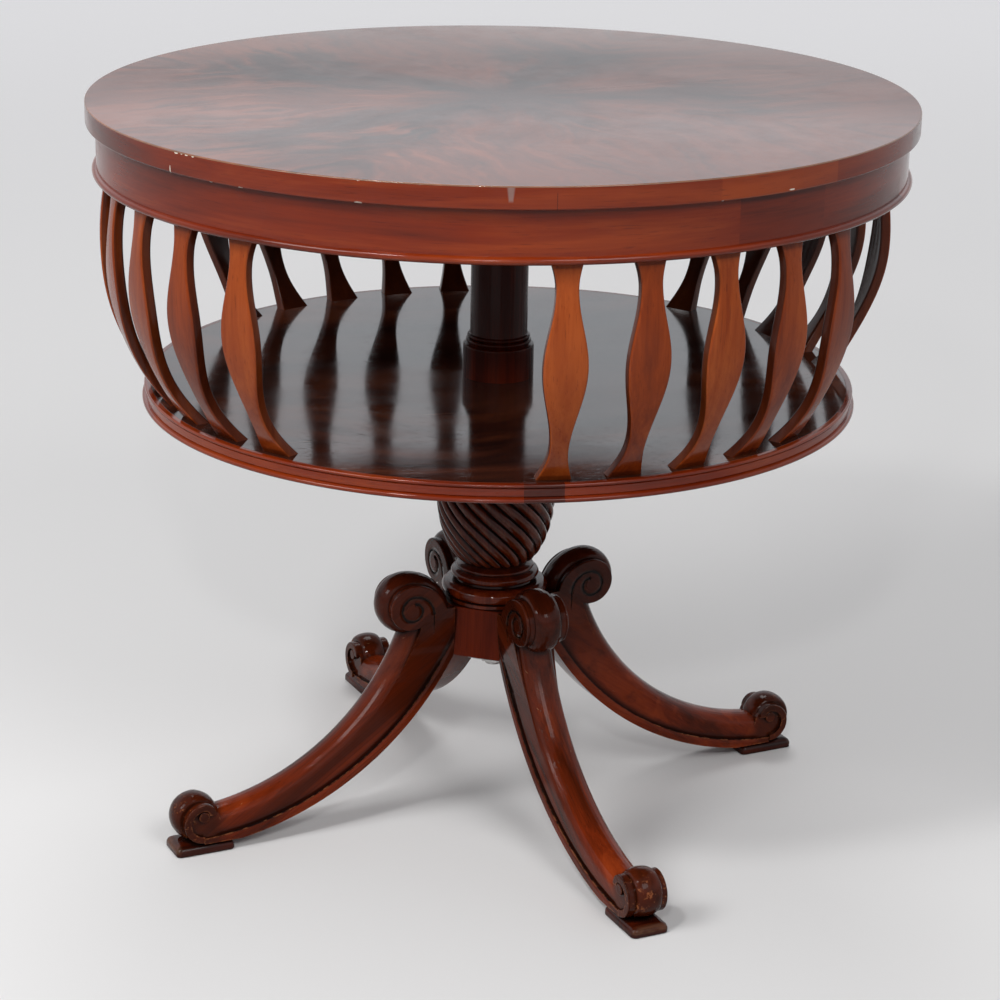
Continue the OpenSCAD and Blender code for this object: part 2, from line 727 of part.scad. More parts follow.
// A drum across the leg that swells from edge_r at its ends to r in its middle
module roll(r, edge_r, w) rotate([90, 0, 0]) rotate_extrude($fn = 120) polygon(concat(
    [[0, -w / 2]],
    [for (p = arc([0, 0], 1, -90, 90, 14)) [edge_r + (r - edge_r) * p[0], w / 2 * p[1]]],
    [[0, w / 2]]));

// A spiral line in quarter circles, each tangent to the one before; way is 1 or -1, out shifts it outwards
function spiral_c(c, radii, start, way, i) =
    i == 0 ? c
    : let (a = start + way * 90 * i)
        spiral_c(c, radii, start, way, i - 1) + (radii[i - 1] - radii[i]) * [cos(a), sin(a)];
function spiral(c, radii, start, way, out) =
    [for (i = [0 : len(radii) - 1])
        each arc(spiral_c(c, radii, start, way, i), radii[i] + out,
                 start + way * 90 * i, start + way * 90 * (i + 1), 8)];

// The line carved on the face of a top scroll rises beside the hub and winds into the eye
line_lead_r = 20;
line_r = volute_d / 2 - 9.5;
line_step = 1.7;
line_radii = concat([line_lead_r], [for (i = [0 : 3]) line_r - line_step * i]);
line_c = volute_c + [-2, line_r - line_lead_r - 2];
module top_line(out) let (
        wide = [for (k = [-0.5, 0.5]) spiral(line_c, line_radii, 180, -1, k * line_w)],
        low = [for (k = [-0.5, 0.5]) [line_c[0] - line_lead_r - k * line_w, cheek_z + 12]])
    translate([0, out, 0]) rotate([90, 0, 0]) linear_extrude(2 * line_depth, center = true)
        polygon(concat([low[0]], wide[0], [for (i = [len(wide[1]) - 1 : -1 : 0]) wide[1][i]], [low[1]]));

// The top scroll: a full disc with a wider quarter turn on its hub side
module lead_quarter() intersection() {
    translate([volute_c[0], 0, volute_c[1] - volute_lead]) children();
    translate([leg_face, -volute_w, volute_c[1] - volute_lead])
        cube([volute_c[0] - leg_face, 2 * volute_w, volute_d + roll_d]);
}

module top_scroll() {
    side_r = volute_d / 2;
    roll_w = volute_w - 2 * flange_w;
    at_rz(volute_c) disc_y(side_r, volute_w);
    lead_quarter() disc_y(side_r + volute_lead, volute_w);
    at_rz(volute_c) roll(roll_d / 2, side_r - 1, roll_w);
    lead_quarter() roll(roll_d / 2 + volute_lead, side_r + volute_lead - 1, roll_w);
    at_rz(volute_c + [0, -2]) disc_y(eye_d / 2, volute_w + 1, 0.5);
}

// The foot scroll: the leg's lower band curls up in front and back over the top to the eye
module foot_scroll() {
    toe_r = toe_d / 2;
    curl_r = toe_r - 7.5;
    curl_c = toe_c + [0, toe_r - curl_r];
    intersection() {
        at_rz(toe_c) difference() {
            disc_y(toe_r, toe_w);
            round_y(toe_r - toe_band, toe_w + 1);
        }
        translate([toe_c[0], -toe_w, 0]) cube([toe_d, 2 * toe_w, toe_c[1] + toe_d]);
    }
    intersection() {
        at_rz(curl_c) difference() {
            disc_y(curl_r, toe_w);
            round_y(curl_r - toe_band, toe_w + 1);
        }
        translate([curl_c[0] - toe_d, -toe_w, curl_c[1]]) cube([toe_d, 2 * toe_w, toe_d]);
    }
    at_rz(toe_c) round_y(toe_r - toe_band / 2, leg_w - 2 * band_step);
    at_rz([toe_c[0], curl_c[1] - 1]) disc_y(eye_d / 2 - 1, toe_w, 1);
    at_rz(toe_roll_c) roll(toe_roll_d / 2, toe_r - 2, toe_w - 2 * flange_w);
}

// The sides of a leg spread towards the hub to the width of the top scroll
module cheeks() intersection() {
    at_rz(under_c) round_y(leg_under_r - 0.5, volute_w);
    translate([leg_face, 0, 0]) rotate([90, 0, 90]) linear_extrude(leg_neck + 2 * leg_w)
        polygon([for (k = [1, -1], p = k > 0 ? [0, 1, 2] : [2, 1, 0])
            [k / 2 * [leg_w - 2 * band_step, volute_w, volute_w][p], [cheek_z, hub_top - 10, hub_top][p]]]);
}

module leg() {
    body_w = leg_w - 2 * band_step;
    difference() {
        union() {
            intersection() {
                difference() {
                    union() {
                        at_rz(under_c) round_y(leg_under_r - band_h / 2, body_w);
                        at_rz(under_c) difference() {
                            round_y(leg_under_r, leg_w);
                            round_y(leg_under_r - band_h, leg_w + 1);
                        }
                        cheeks();
                    }
                    at_rz(over_c) rotate([90, 0, 0]) rotate_extrude($fn = 180)
                        polygon(concat(
                            [[0, -leg_w], [leg_over_r + crown_drop, -leg_w]],
                            [for (p = arc([0, 0], 1, -90, 90, 14))
                                [leg_over_r + crown_drop * (1 - p[0]), body_w / 2 * p[1]]],
                            [[leg_over_r + crown_drop, leg_w], [0, leg_w]]));
                }
                translate([leg_face, -leg_w, pad_t])
                    cube([leg_reach - leg_face, 2 * leg_w, hub_top - pad_t]);
            }
            top_scroll();
            foot_scroll();
        }
        for (side = [-1, 1]) top_line(side * volute_w / 2);
        translate([0, -leg_w, -1]) cube([2 * leg_reach, 2 * leg_w, pad_t + 1]);
        dowels(slip, 0.5);
    }
}

leg_angles = [225, 315, 45, 135];
module leg_at(a) color(mahogany) rotate(a) leg();

pad_start = leg_reach - pad_len / 2 - 2;
module foot_pads() color(dark_mahogany)
    around(4, 45) translate([pad_start, 0, 0]) intersection() {
        rotate([90, 0, 0]) linear_extrude(leg_w + 10, center = true) pad_section(pad_len);
        rotate([90, 0, 90]) linear_extrude(2 * pad_len, center = true)
            translate([-leg_w / 2, 0]) pad_section(leg_w);
    }

module pad_section(len)
    polygon([[0, 0], [len, 0], [len, pad_t - pad_bevel], [len - pad_bevel, pad_t],
             [pad_bevel, pad_t], [0, pad_t - pad_bevel]]);

table_top();
top_lipping();
apron();
apron_bead();
glue_blocks();
post_head_block();
head_block_screws();
centre_post();
shelf_board();
shelf_rim();
shelf_bush();
upper_bush();
upper_bearing_plate();
upper_plate_screws();
bearing_balls();
ball_cage();
lower_bearing_plate();
lower_plate_screws();
spindle();
spindle_nuts();
pedestal_cap();
pedestal_neck();
spiral_vase();
base_turning();
hub_block();
leg_dowels();
hub_plate();
hub_plate_screws();
foot_pads();
for (i = [0 : len(LEGS) - 1]) leg_at(leg_angles[i]);
for (i = [0 : len(SLATS) - 1]) slat_at(i % slats_per_side + 1, floor(i / slats_per_side));
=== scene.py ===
import json
import math
import random

import bpy
from mathutils import Matrix, Vector


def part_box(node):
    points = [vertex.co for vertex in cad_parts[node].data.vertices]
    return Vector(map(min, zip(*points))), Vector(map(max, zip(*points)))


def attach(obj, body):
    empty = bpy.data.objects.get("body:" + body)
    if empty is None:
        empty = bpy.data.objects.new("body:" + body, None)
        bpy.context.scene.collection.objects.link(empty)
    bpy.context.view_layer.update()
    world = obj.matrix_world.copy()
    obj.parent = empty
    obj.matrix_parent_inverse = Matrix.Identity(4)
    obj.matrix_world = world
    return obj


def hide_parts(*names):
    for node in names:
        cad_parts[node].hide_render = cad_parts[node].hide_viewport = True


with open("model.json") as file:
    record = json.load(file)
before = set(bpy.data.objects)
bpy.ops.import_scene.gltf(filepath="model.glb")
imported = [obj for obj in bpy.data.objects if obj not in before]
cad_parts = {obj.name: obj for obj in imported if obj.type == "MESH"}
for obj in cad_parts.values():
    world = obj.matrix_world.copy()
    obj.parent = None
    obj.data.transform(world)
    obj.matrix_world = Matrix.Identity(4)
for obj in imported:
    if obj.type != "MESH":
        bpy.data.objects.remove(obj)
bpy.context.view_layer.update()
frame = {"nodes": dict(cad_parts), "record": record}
scene = bpy.context.scene
scene.view_settings.view_transform = "Standard"
nodes = frame["nodes"]


def lowHigh(node):  # floor and ceiling of a piece
    low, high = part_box(node)
    return low.z, high.z


def radiusOf(node):
    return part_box(node)[1].x


# Camera, where the photograph was taken from

viewpoint = {
    "azimuth": -70.8, "distance": 2.6586, "height": 1.2091,
    "yaw": -0.0105, "pitch": -0.3265, "roll": 0.0138,
    "lens": 105.24, "shift": (0.0332, -0.0015), "clip": (0.05, 60),
}


def setCamera():
    data = bpy.data.cameras.new("viewpoint")
    camera = bpy.data.objects.new("viewpoint", data)
    scene.collection.objects.link(camera)
    scene.camera = camera
    data.lens = viewpoint["lens"]
    data.shift_x, data.shift_y = viewpoint["shift"]
    data.clip_start, data.clip_end = viewpoint["clip"]
    yaw, pitch, roll = (viewpoint[key] for key in ("yaw", "pitch", "roll"))
    right = Vector((math.cos(yaw), -math.sin(yaw), 0))
    ahead = Vector((math.sin(yaw) * math.cos(pitch), math.cos(yaw) * math.cos(pitch), math.sin(pitch)))
    up = right.cross(ahead)
    rightRolled = right * math.cos(roll) + up * math.sin(roll)
    upRolled = up * math.cos(roll) - right * math.sin(roll)
    swing = Matrix.Rotation(math.radians(viewpoint["azimuth"] + 90), 4, "Z")
    facing = Matrix((rightRolled, upRolled, -ahead)).transposed().to_4x4()
    place = Matrix.Translation((0, -viewpoint["distance"], viewpoint["height"]))
    camera.matrix_world = swing @ place @ facing


setCamera()
print("camera set")


# Shader helpers

class Field:  # a shader socket that takes part in sums
    def __init__(self, finish, socket):
        self.finish, self.socket = finish, socket

    def sum(self, operation, first, second):
        return self.finish.node("ShaderNodeMath", {"operation": operation}, {0: first, 1: second})

    def __add__(self, other):
        return self.sum("ADD", self, other)

    def __radd__(self, other):
        return self.sum("ADD", other, self)

    def __sub__(self, other):
        return self.sum("SUBTRACT", self, other)

    def __rsub__(self, other):
        return self.sum("SUBTRACT", other, self)

    def __mul__(self, other):
        return self.sum("MULTIPLY", self, other)

    def __rmul__(self, other):
        return self.sum("MULTIPLY", other, self)

    def __truediv__(self, other):
        return self.sum("DIVIDE", self, other)

    def atLeast(self, other):
        return self.sum("MAXIMUM", self, other)

    def atMost(self, other):
        return self.sum("MINIMUM", self, other)

    def size(self):
        return self.finish.node("ShaderNodeMath", {"operation": "ABSOLUTE"}, {0: self})


class Finish:  # one procedural material and its nodes
    def __init__(self, name, **constants):
        self.material = bpy.data.materials.new(name)
        self.material.use_nodes = True
        self.tree = self.material.node_tree
        self.shader = self.tree.nodes["Principled BSDF"]
        for key, value in constants.items():
            self.shader.inputs[key.replace("_", " ")].default_value = value

    def node(self, kind, settings=None, sockets=None, out=0):
        made = self.tree.nodes.new(kind)
        for key, value in (settings or {}).items():
            if key == "stops":
                ramp = made.color_ramp
                while len(ramp.elements) < len(value):
                    ramp.elements.new(0.5)
                for element, (place, colour) in zip(ramp.elements, value):
                    element.position, element.color = place, (*colour, 1)
            else:
                setattr(made, key, value)
        for key, value in (sockets or {}).items():
            if isinstance(value, Field):
                self.tree.links.new(value.socket, made.inputs[key])
            else:
                made.inputs[key].default_value = value
        return Field(self, made.outputs[out])

    def wire(self, name, field):
        self.tree.links.new(field.socket, self.shader.inputs[name])

    def stored(self, name, out):  # an attribute that a mesh carries
        return self.node("ShaderNodeAttribute", {"attribute_name": name}, out=out)

    def point(self):  # in the table's own frame, since no piece is moved
        return self.node("ShaderNodeTexCoord", out="Object")

    def place(self):  # the point and its three parts
        point = self.point()
        return (point, *self.parts(point))

    def parts(self, vector):
        made = self.node("ShaderNodeSeparateXYZ", {}, {0: vector})
        return [Field(self, made.socket.node.outputs[i]) for i in range(3)]

    def joined(self, x, y, z):
        return self.node("ShaderNodeCombineXYZ", {}, {0: x, 1: y, 2: z})

    def length(self, vector):
        return self.node("ShaderNodeVectorMath", {"operation": "LENGTH"}, {0: vector}, out="Value")

    def azimuth(self, x, y):  # in degrees, from 0 to 360
        turn = self.node("ShaderNodeMath", {"operation": "ARCTAN2"}, {0: y, 1: x}) * (180 / math.pi)
        return self.node("ShaderNodeMath", {"operation": "FLOORED_MODULO"}, {0: turn, 1: 360.0})

    def noise(self, place, scale, detail, roughness, distortion=0.0, shift=(0, 0, 0), out=0):
        moved = self.node("ShaderNodeMapping", {}, {"Vector": place, "Scale": scale, "Location": shift})
        return self.node("ShaderNodeTexNoise", {}, {"Vector": moved, "Scale": 1.0, "Detail": detail,
                         "Roughness": roughness, "Distortion": distortion}, out=out)

    def drifted(self, place, drift, amount):  # a place pushed aside by a coloured noise
        return self.node("ShaderNodeVectorMath", {"operation": "MULTIPLY_ADD"},
                         {0: drift, 1: amount, 2: place})

    def smears(self, place, scale, detail=4):  # uneven polish
        return self.noise(place, scale, detail, 0.65, shift=(7, 5, 1))

    def hollows(self, reach, local=False, inside=False):  # 1 in the open, less in a corner
        return self.node("ShaderNodeAmbientOcclusion", {"samples": 6, "only_local": local, "inside": inside},
                         {"Distance": reach}, out="AO")

    def shown(self):  # 1 for what the camera sees, also in reflections and through glass
        camera, glossy, transmission = (self.node("ShaderNodeLightPath", out=f"Is {kind} Ray")
                                        for kind in ("Camera", "Glossy", "Transmission"))
        return camera + glossy + transmission

    def limits(self, value, low, high, start=0.0, end=1.0):
        return self.node("ShaderNodeMapRange", {"interpolation_type": "SMOOTHSTEP"},
                         {"Value": value, "From Min": low, "From Max": high, "To Min": start, "To Max": end})

    def mix(self, factor, first, second):  # a colour is a field, or red, green and blue
        sockets = {0: factor}
        for place, colour in ((6, first), (7, second)):
            sockets[place] = (*colour, 1) if isinstance(colour, tuple) else colour
        return self.node("ShaderNodeMix", {"data_type": "RGBA"}, sockets, out=2)

    def ramp(self, value, stops):
        return self.node("ShaderNodeValToRGB", {"stops": stops}, {0: value})

    def bump(self, height, strength, distance):
        made = self.node("ShaderNodeBump", {}, {"Strength": strength, "Distance": distance, "Height": height})
        self.wire("Normal", made)


# Mesh helpers

creases = {"own": 38, "legs": 32, "hidden": 35}  # edges sharper than this, in degrees, stay crisp


def finishPiece(piece, finishName):
    piece.data.materials.clear()
    piece.data.materials.append(finishes[finishName])


def soften(mesh, degrees):
    mesh.shade_smooth()
    mesh.set_sharp_from_angle(angle=math.radians(degrees))


def newPiece(name, shape, body, node, finishName):
    points, faces = shape
    mesh = bpy.data.meshes.new(name)
    mesh.from_pydata([tuple(p) for p in points], [], faces)
    mesh.validate()
    piece = bpy.data.objects.new(name, mesh)
    scene.collection.objects.link(piece)
    soften(mesh, creases["own"])
    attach(piece, body)
    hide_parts(node)
    finishPiece(piece, finishName)
    return piece


def shell(rings, closed=False):  # quads over rings of points, and flat caps unless the last meets the first
    points = [p for ring in rings for p in ring]
    count = len(rings[0])
    faces = []
    for i in range(len(rings) if closed else len(rings) - 1):
        here, there = i * count, (i + 1) % len(rings) * count
        for j in range(count):
            k = (j + 1) % count
            faces.append((here + j, here + k, there + k, there + j))
    if not closed:
        faces.append(tuple(reversed(range(count))))
        faces.append(tuple((len(rings) - 1) * count + j for j in range(count)))
    return points, faces


def oval(centre, across, up, start, end, steps):  # part of an oval, with its two half widths
    made = []
    for i in range(steps + 1):
        a = math.radians(start + (end - start) * i / steps)
        made.append((centre[0] + across * math.cos(a), centre[1] + up * math.sin(a)))
    return made


def arc(centre, radius, start, end, steps):
    return oval(centre, radius, radius, start, end, steps)


def roundedBox(near, far, half, r, steps):  # an outline from near to far, with round corners
    outline = []
    for x, y, start in ((far - r, half - r, 0), (near + r, half - r, 90),
                        (near + r, r - half, 180), (far - r, r - half, 270)):
        outline += arc((x, y), r, start, start + 90, steps)
    return outline


def swung(plan, angle, z):  # a plan's points at a height, turned about the table's axis
    ca, sa = math.cos(math.radians(angle)), math.sin(math.radians(angle))
    return [(x * ca - y * sa, x * sa + y * ca, z) for x, y in plan]


def turned(profile, steps):  # a closed profile of radius and height, turned on the lathe
    rings = []
    for i in range(steps):
        a = 2 * math.pi * i / steps
        rings.append([(r * math.cos(a), r * math.sin(a), z) for r, z in profile])
    points, faces = shell(rings, closed=True)
    return points, [tuple(reversed(f)) for f in faces]


# Grain, tone and wear are stored at each corner of each face. Wear runs from -1, darkest, to 1, bare; on the
# slats the dark end is painted shade.

def stamp(piece, rule):
    mesh = piece.data
    grain = mesh.attributes.new("grain", "FLOAT_VECTOR", "CORNER")
    look = mesh.attributes.new("look", "FLOAT_VECTOR", "CORNER")
    grains, looks = [], []
    for face in mesh.polygons:
        for vertex in face.vertices:
            along, tone = rule(mesh.vertices[vertex].co, face)
            grains.extend(along)
            looks.extend(tone)
    grain.data.foreach_set("vector", grains)
    look.data.foreach_set("vector", looks)


def wearNone(point):
    return 0.0


def grainUp(shift, tone=0.0, wear=wearNone):  # the grain runs up the piece
    def rule(point, face):
        return (point.z + shift, point.x + shift * 3, point.y), (tone, wear(point), 0)
    return rule


def grainFlat(angle, shift, tone=0.0, wear=wearNone):  # the grain runs across a board
    ca, sa = math.cos(math.radians(angle)), math.sin(math.radians(angle))

    def rule(point, face):
        along = point.x * ca + point.y * sa
        across = point.y * ca - point.x * sa
        return (along + shift, across, point.z), (tone, wear(point), 0)
    return rule


def grainRound(radius, joints, tones):  # the grain runs round a rail made of pieces
    def rule(point, face):
        middle = math.degrees(math.atan2(face.center.y, face.center.x)) % 360
        part = sum(middle >= joint for joint in joints) % len(joints)
        a = math.degrees(math.atan2(point.y, point.x)) % 360
        if a - middle > 180:
            a -= 360
        if middle - a > 180:
            a += 360
        across = math.hypot(point.x, point.y)
        return (math.radians(a) * radius + part * 3.7, across + part, point.z), (tones[part], 0, 0)
    return rule


# Finishes

shades = {  # light, middle and dark of each kind of wood
    "rails": ((0.30, 0.047, 0.007), (0.172, 0.017, 0.002), (0.050, 0.006, 0.002)),
    "slats": ((0.41, 0.086, 0.015), (0.24, 0.038, 0.006), (0.085, 0.012, 0.004)),
    "carved": ((0.30, 0.042, 0.008), (0.098, 0.011, 0.002), (0.012, 0.002, 0.001)),
    "legs": ((0.30, 0.044, 0.009), (0.150, 0.0185, 0.004), (0.020, 0.005, 0.002)),
    "hub": ((0.19, 0.021, 0.003), (0.088, 0.008, 0.001), (0.024, 0.003, 0.001)),
}
polish = {
    # the dark colour is for dirt, cracks and pores, and also for the painted shade
    "bare": (0.46, 0.25, 0.12), "worn": (0.34, 0.105, 0.036), "dirtAndShade": (0.008, 0.004, 0.003),
    "roughness": 0.15, "ior": 1.34, "lowIor": 1.21,
}
figure = {  # how often each marking comes along and across the grain, and its share
    "ribbon": (3.2, 34, 34), "ribbonShare": 0.50, "cloud": (4, 9, 9), "cloudShare": 0.34,
    "fibre": (14, 420, 420), "fibreShare": 0.16, "pores": (42, 900, 900), "poreShare": 0.45,
    "darkAt": 0.30, "middleAt": 0.50, "lightAt": 0.72,
}
ageing = {
    "darkeningShare": 0.85, "recessShadeShare": 0.90, "rubbedFrom": 0.15, "rubbedRough": 0.25,
    "patches": (60, 160, 160), "evenShare": 0.35, "smears": (14, 30, 30),
}


def figured(wood, grain, tone, woodShades):  # ribbon figure, cloudy patches and pores
    light, middle, dark = woodShades
    ribbon = wood.noise(grain, figure["ribbon"], 4, 0.6, 0.9)
    cloud = wood.noise(grain, figure["cloud"], 2, 0.5, shift=(3, 1, 2))
    fibre = wood.noise(grain, figure["fibre"], 3, 0.6, shift=(1, 4, 6))
    pore = wood.limits(wood.noise(grain, figure["pores"], 2, 0.6), 0.60, 0.72)
    level = (ribbon * figure["ribbonShare"] + cloud * figure["cloudShare"]
             + fibre * figure["fibreShare"] + tone)
    stops = [(figure["darkAt"], dark), (figure["middleAt"], middle), (figure["lightAt"], light)]
    return wood.mix(pore * figure["poreShare"], wood.ramp(level, stops), dark), pore


def mahogany(name, kind="rails", roughness=polish["roughness"], ior=polish["ior"], shadeReach=0.0):
    wood = Finish(name, IOR=ior)
    grain = wood.stored("grain", "Vector")
    tone, wear, _ = wood.parts(wood.stored("look", "Vector"))
    colour, pore = figured(wood, grain, tone, shades[kind])
    patchy = wood.limits(wood.noise(grain, ageing["patches"], 3, 0.6), 0.40, 0.62)
    rubbed = wood.limits(wear, ageing["rubbedFrom"], 1.0)
    even = ageing["evenShare"]
    # below 0, wear darkens the wood: painted shade on the slats, and darker grooves between the vase's reeds
    colour = wood.mix(wood.limits(wear, 0.0, -1.0) * ageing["darkeningShare"], colour, polish["dirtAndShade"])
    colour = wood.mix(rubbed * (even + (1 - even) * patchy), colour, polish["bare"])
    if shadeReach:  # painted shade where another surface is near
        near = wood.limits(wood.hollows(shadeReach), 0.92, 0.40)
        colour = wood.mix(near * ageing["recessShadeShare"], colour, polish["dirtAndShade"])
    wood.wire("Base Color", colour)
    smear = wood.smears(grain, ageing["smears"])
    uneven = wood.limits(smear, 0.35, 0.75, roughness * 0.7, roughness * 1.7)
    wood.wire("Roughness", uneven + rubbed * ageing["rubbedRough"])
    wood.bump(pore * -0.6 + smear * 0.5, 0.12, 0.0006)
    return wood.material


# Lipping: places are azimuths in degrees and heights in metres, and marks' half sizes are in millimetres

lipping = {
    "joints": [0.0, 21.0, 85.0, 150.0, 205.0, 317.2, 336.6],
    "tones": [-0.03, 0.02, -0.05, 0.03, 0.01, 0.085, -0.03],
    "rawAndHighlight": (0.74, 0.66, 0.55), "ragged": (420, 420, 420),
    "rubbedFrom": 0.6993, "rubbedTo": 0.7001, "rubbedAndHighlightShare": 0.35,
}
drip = {
    "azimuth": 290.4, "low": 0.6858, "half": 2.0, "flare": 150, "taper": 260,
    "colour": (0.30, 0.26, 0.24), "share": 0.48,
}
crack = {"azimuth": 296.0, "top": 0.6955, "half": 0.35, "wander": 0.12, "share": 0.8}
chipsAndHighlight = [  # azimuth, height, half width and half height
    (243.9, 0.6990, 3.2, 1.6), (244.9, 0.6992, 2.0, 1.2), (245.9, 0.6991, 3.0, 1.5),
    (247.1, 0.6990, 2.2, 1.6), (242.6, 0.6828, 0.7, 5.0), (271.7, 0.6994, 2.2, 1.0),
    (271.7, 0.6808, 4.6, 0.9), (255.1, 0.6807, 3.4, 0.7), (328.1, 0.6824, 3.6, 0.9),
    # the entry at 288.2 degrees on the upper arris, facing the front, is a painted highlight, not a chip
    (288.2, 0.6996, 7.5, 0.7), (262.0, 0.6998, 1.4, 0.6), (317.4, 0.6804, 1.6, 0.6),
    (250.2, 0.6805, 2.0, 0.6), (88.0, 0.6994, 3.0, 0.9), (140.0, 0.6806, 3.5, 0.8),
    (25.0, 0.6996, 2.2, 0.8), (183.0, 0.6996, 2.6, 0.8),
]


def edgeMahogany(name):  # the lipping's own, with its splices, chips, a painted highlight, a drip and a crack
    wood = Finish(name, IOR=polish["ior"])
    point, x, y, z = wood.place()
    azimuth = wood.azimuth(x, y)
    perDegree = math.pi / 180 * radiusOf("top_lipping")
    joints = lipping["joints"]
    tone = 0.0
    for start, end, value in zip(joints, joints[1:] + [360.0], lipping["tones"]):
        half = (end - start) / 2
        tone = wood.limits((azimuth - (start + half)).size(), half + 0.1, half - 0.1) * value + tone
    grain = wood.joined(azimuth * perDegree, z, wood.length(wood.joined(x, y, 0.0)))
    colour, pore = figured(wood, grain, tone, shades["rails"])
    ragged = wood.noise(point, lipping["ragged"], 3, 0.7)
    chipsAndHighlightMask = 0.0
    for angle, height, halfWidth, halfHeight in chipsAndHighlight:
        across = (azimuth - angle) * (perDegree * 1000 / halfWidth)
        along = (z - height) * (1000 / halfHeight)
        chipsAndHighlightMask = (1.0 - (across * across + along * along)).atLeast(chipsAndHighlightMask)
    # bare holds the chips and the painted highlight
    bare = wood.limits(chipsAndHighlightMask + (ragged - 0.5) * 2.2, 0.30, 0.62) * wood.limits(chipsAndHighlightMask, 0.0, 0.2)
    dripHalf = (z - drip["low"]) * drip["flare"] + drip["half"]
    across = (azimuth - drip["azimuth"]) * (perDegree * 1000) / dripHalf
    dripped = (1.0 - across * across).atMost((z - drip["low"]) * drip["taper"])
    beside = (azimuth - crack["azimuth"] + (ragged - 0.5) * crack["wander"]) * (perDegree * 1000)
    cracked = wood.limits(beside.size(), crack["half"], 0.10)
    cracked = cracked * wood.limits(z, crack["top"], crack["top"] - 0.002)
    colour = wood.mix(cracked * crack["share"], colour, polish["dirtAndShade"])
    colour = wood.mix(wood.limits(dripped, 0.0, 0.9) * drip["share"], colour, drip["colour"])
    # a pale line along the top arris: rubbed wear and a painted highlight
    rubbed = wood.limits(z + (ragged - 0.5) * 0.0012, lipping["rubbedFrom"], lipping["rubbedTo"])
    colour = wood.mix(rubbed * lipping["rubbedAndHighlightShare"], colour, polish["bare"])
    colour = wood.mix(bare, colour, lipping["rawAndHighlight"])
    wood.wire("Base Color", colour)
    smear = wood.smears(grain, ageing["smears"])
    wood.wire("Roughness", wood.limits(smear, 0.35, 0.75, 0.10, 0.25) + bare * 0.4)
    wood.bump(pore * -0.5 + smear * 0.4 - bare * 1.6 - cracked, 0.2, 0.0008)
    return wood.material


# The top's four leaves of flame veneer, matched along two seams that cross at the centre

quarters = {
    "seam": 42.8, "feather": 0.85, "drift": (0.10, 0.10, 0.0), "plume": (9, 62, 1), "broad": (9, 21, 1),
    "light": (0.175, 0.048, 0.026), "middle": (0.105, 0.031, 0.020), "dark": (0.028, 0.015, 0.014),
    "warm": (0.25, 0.068, 0.032), "warmShare": 0.60, "armShare": 0.80, "speckShare": 0.8,
    "seamHalf": 0.45, "seamShare": 0.12, "edge": 0.3800, "arrisRubAndHighlightShare": 0.30,
}
arms = [  # the dark arms of the figure: azimuth, half width in degrees, reach in metres
    (169, 17, 0.35), (251, 14, 0.40), (90, 20, 0.31), (22, 15, 0.29), (308, 10, 0.20),
]


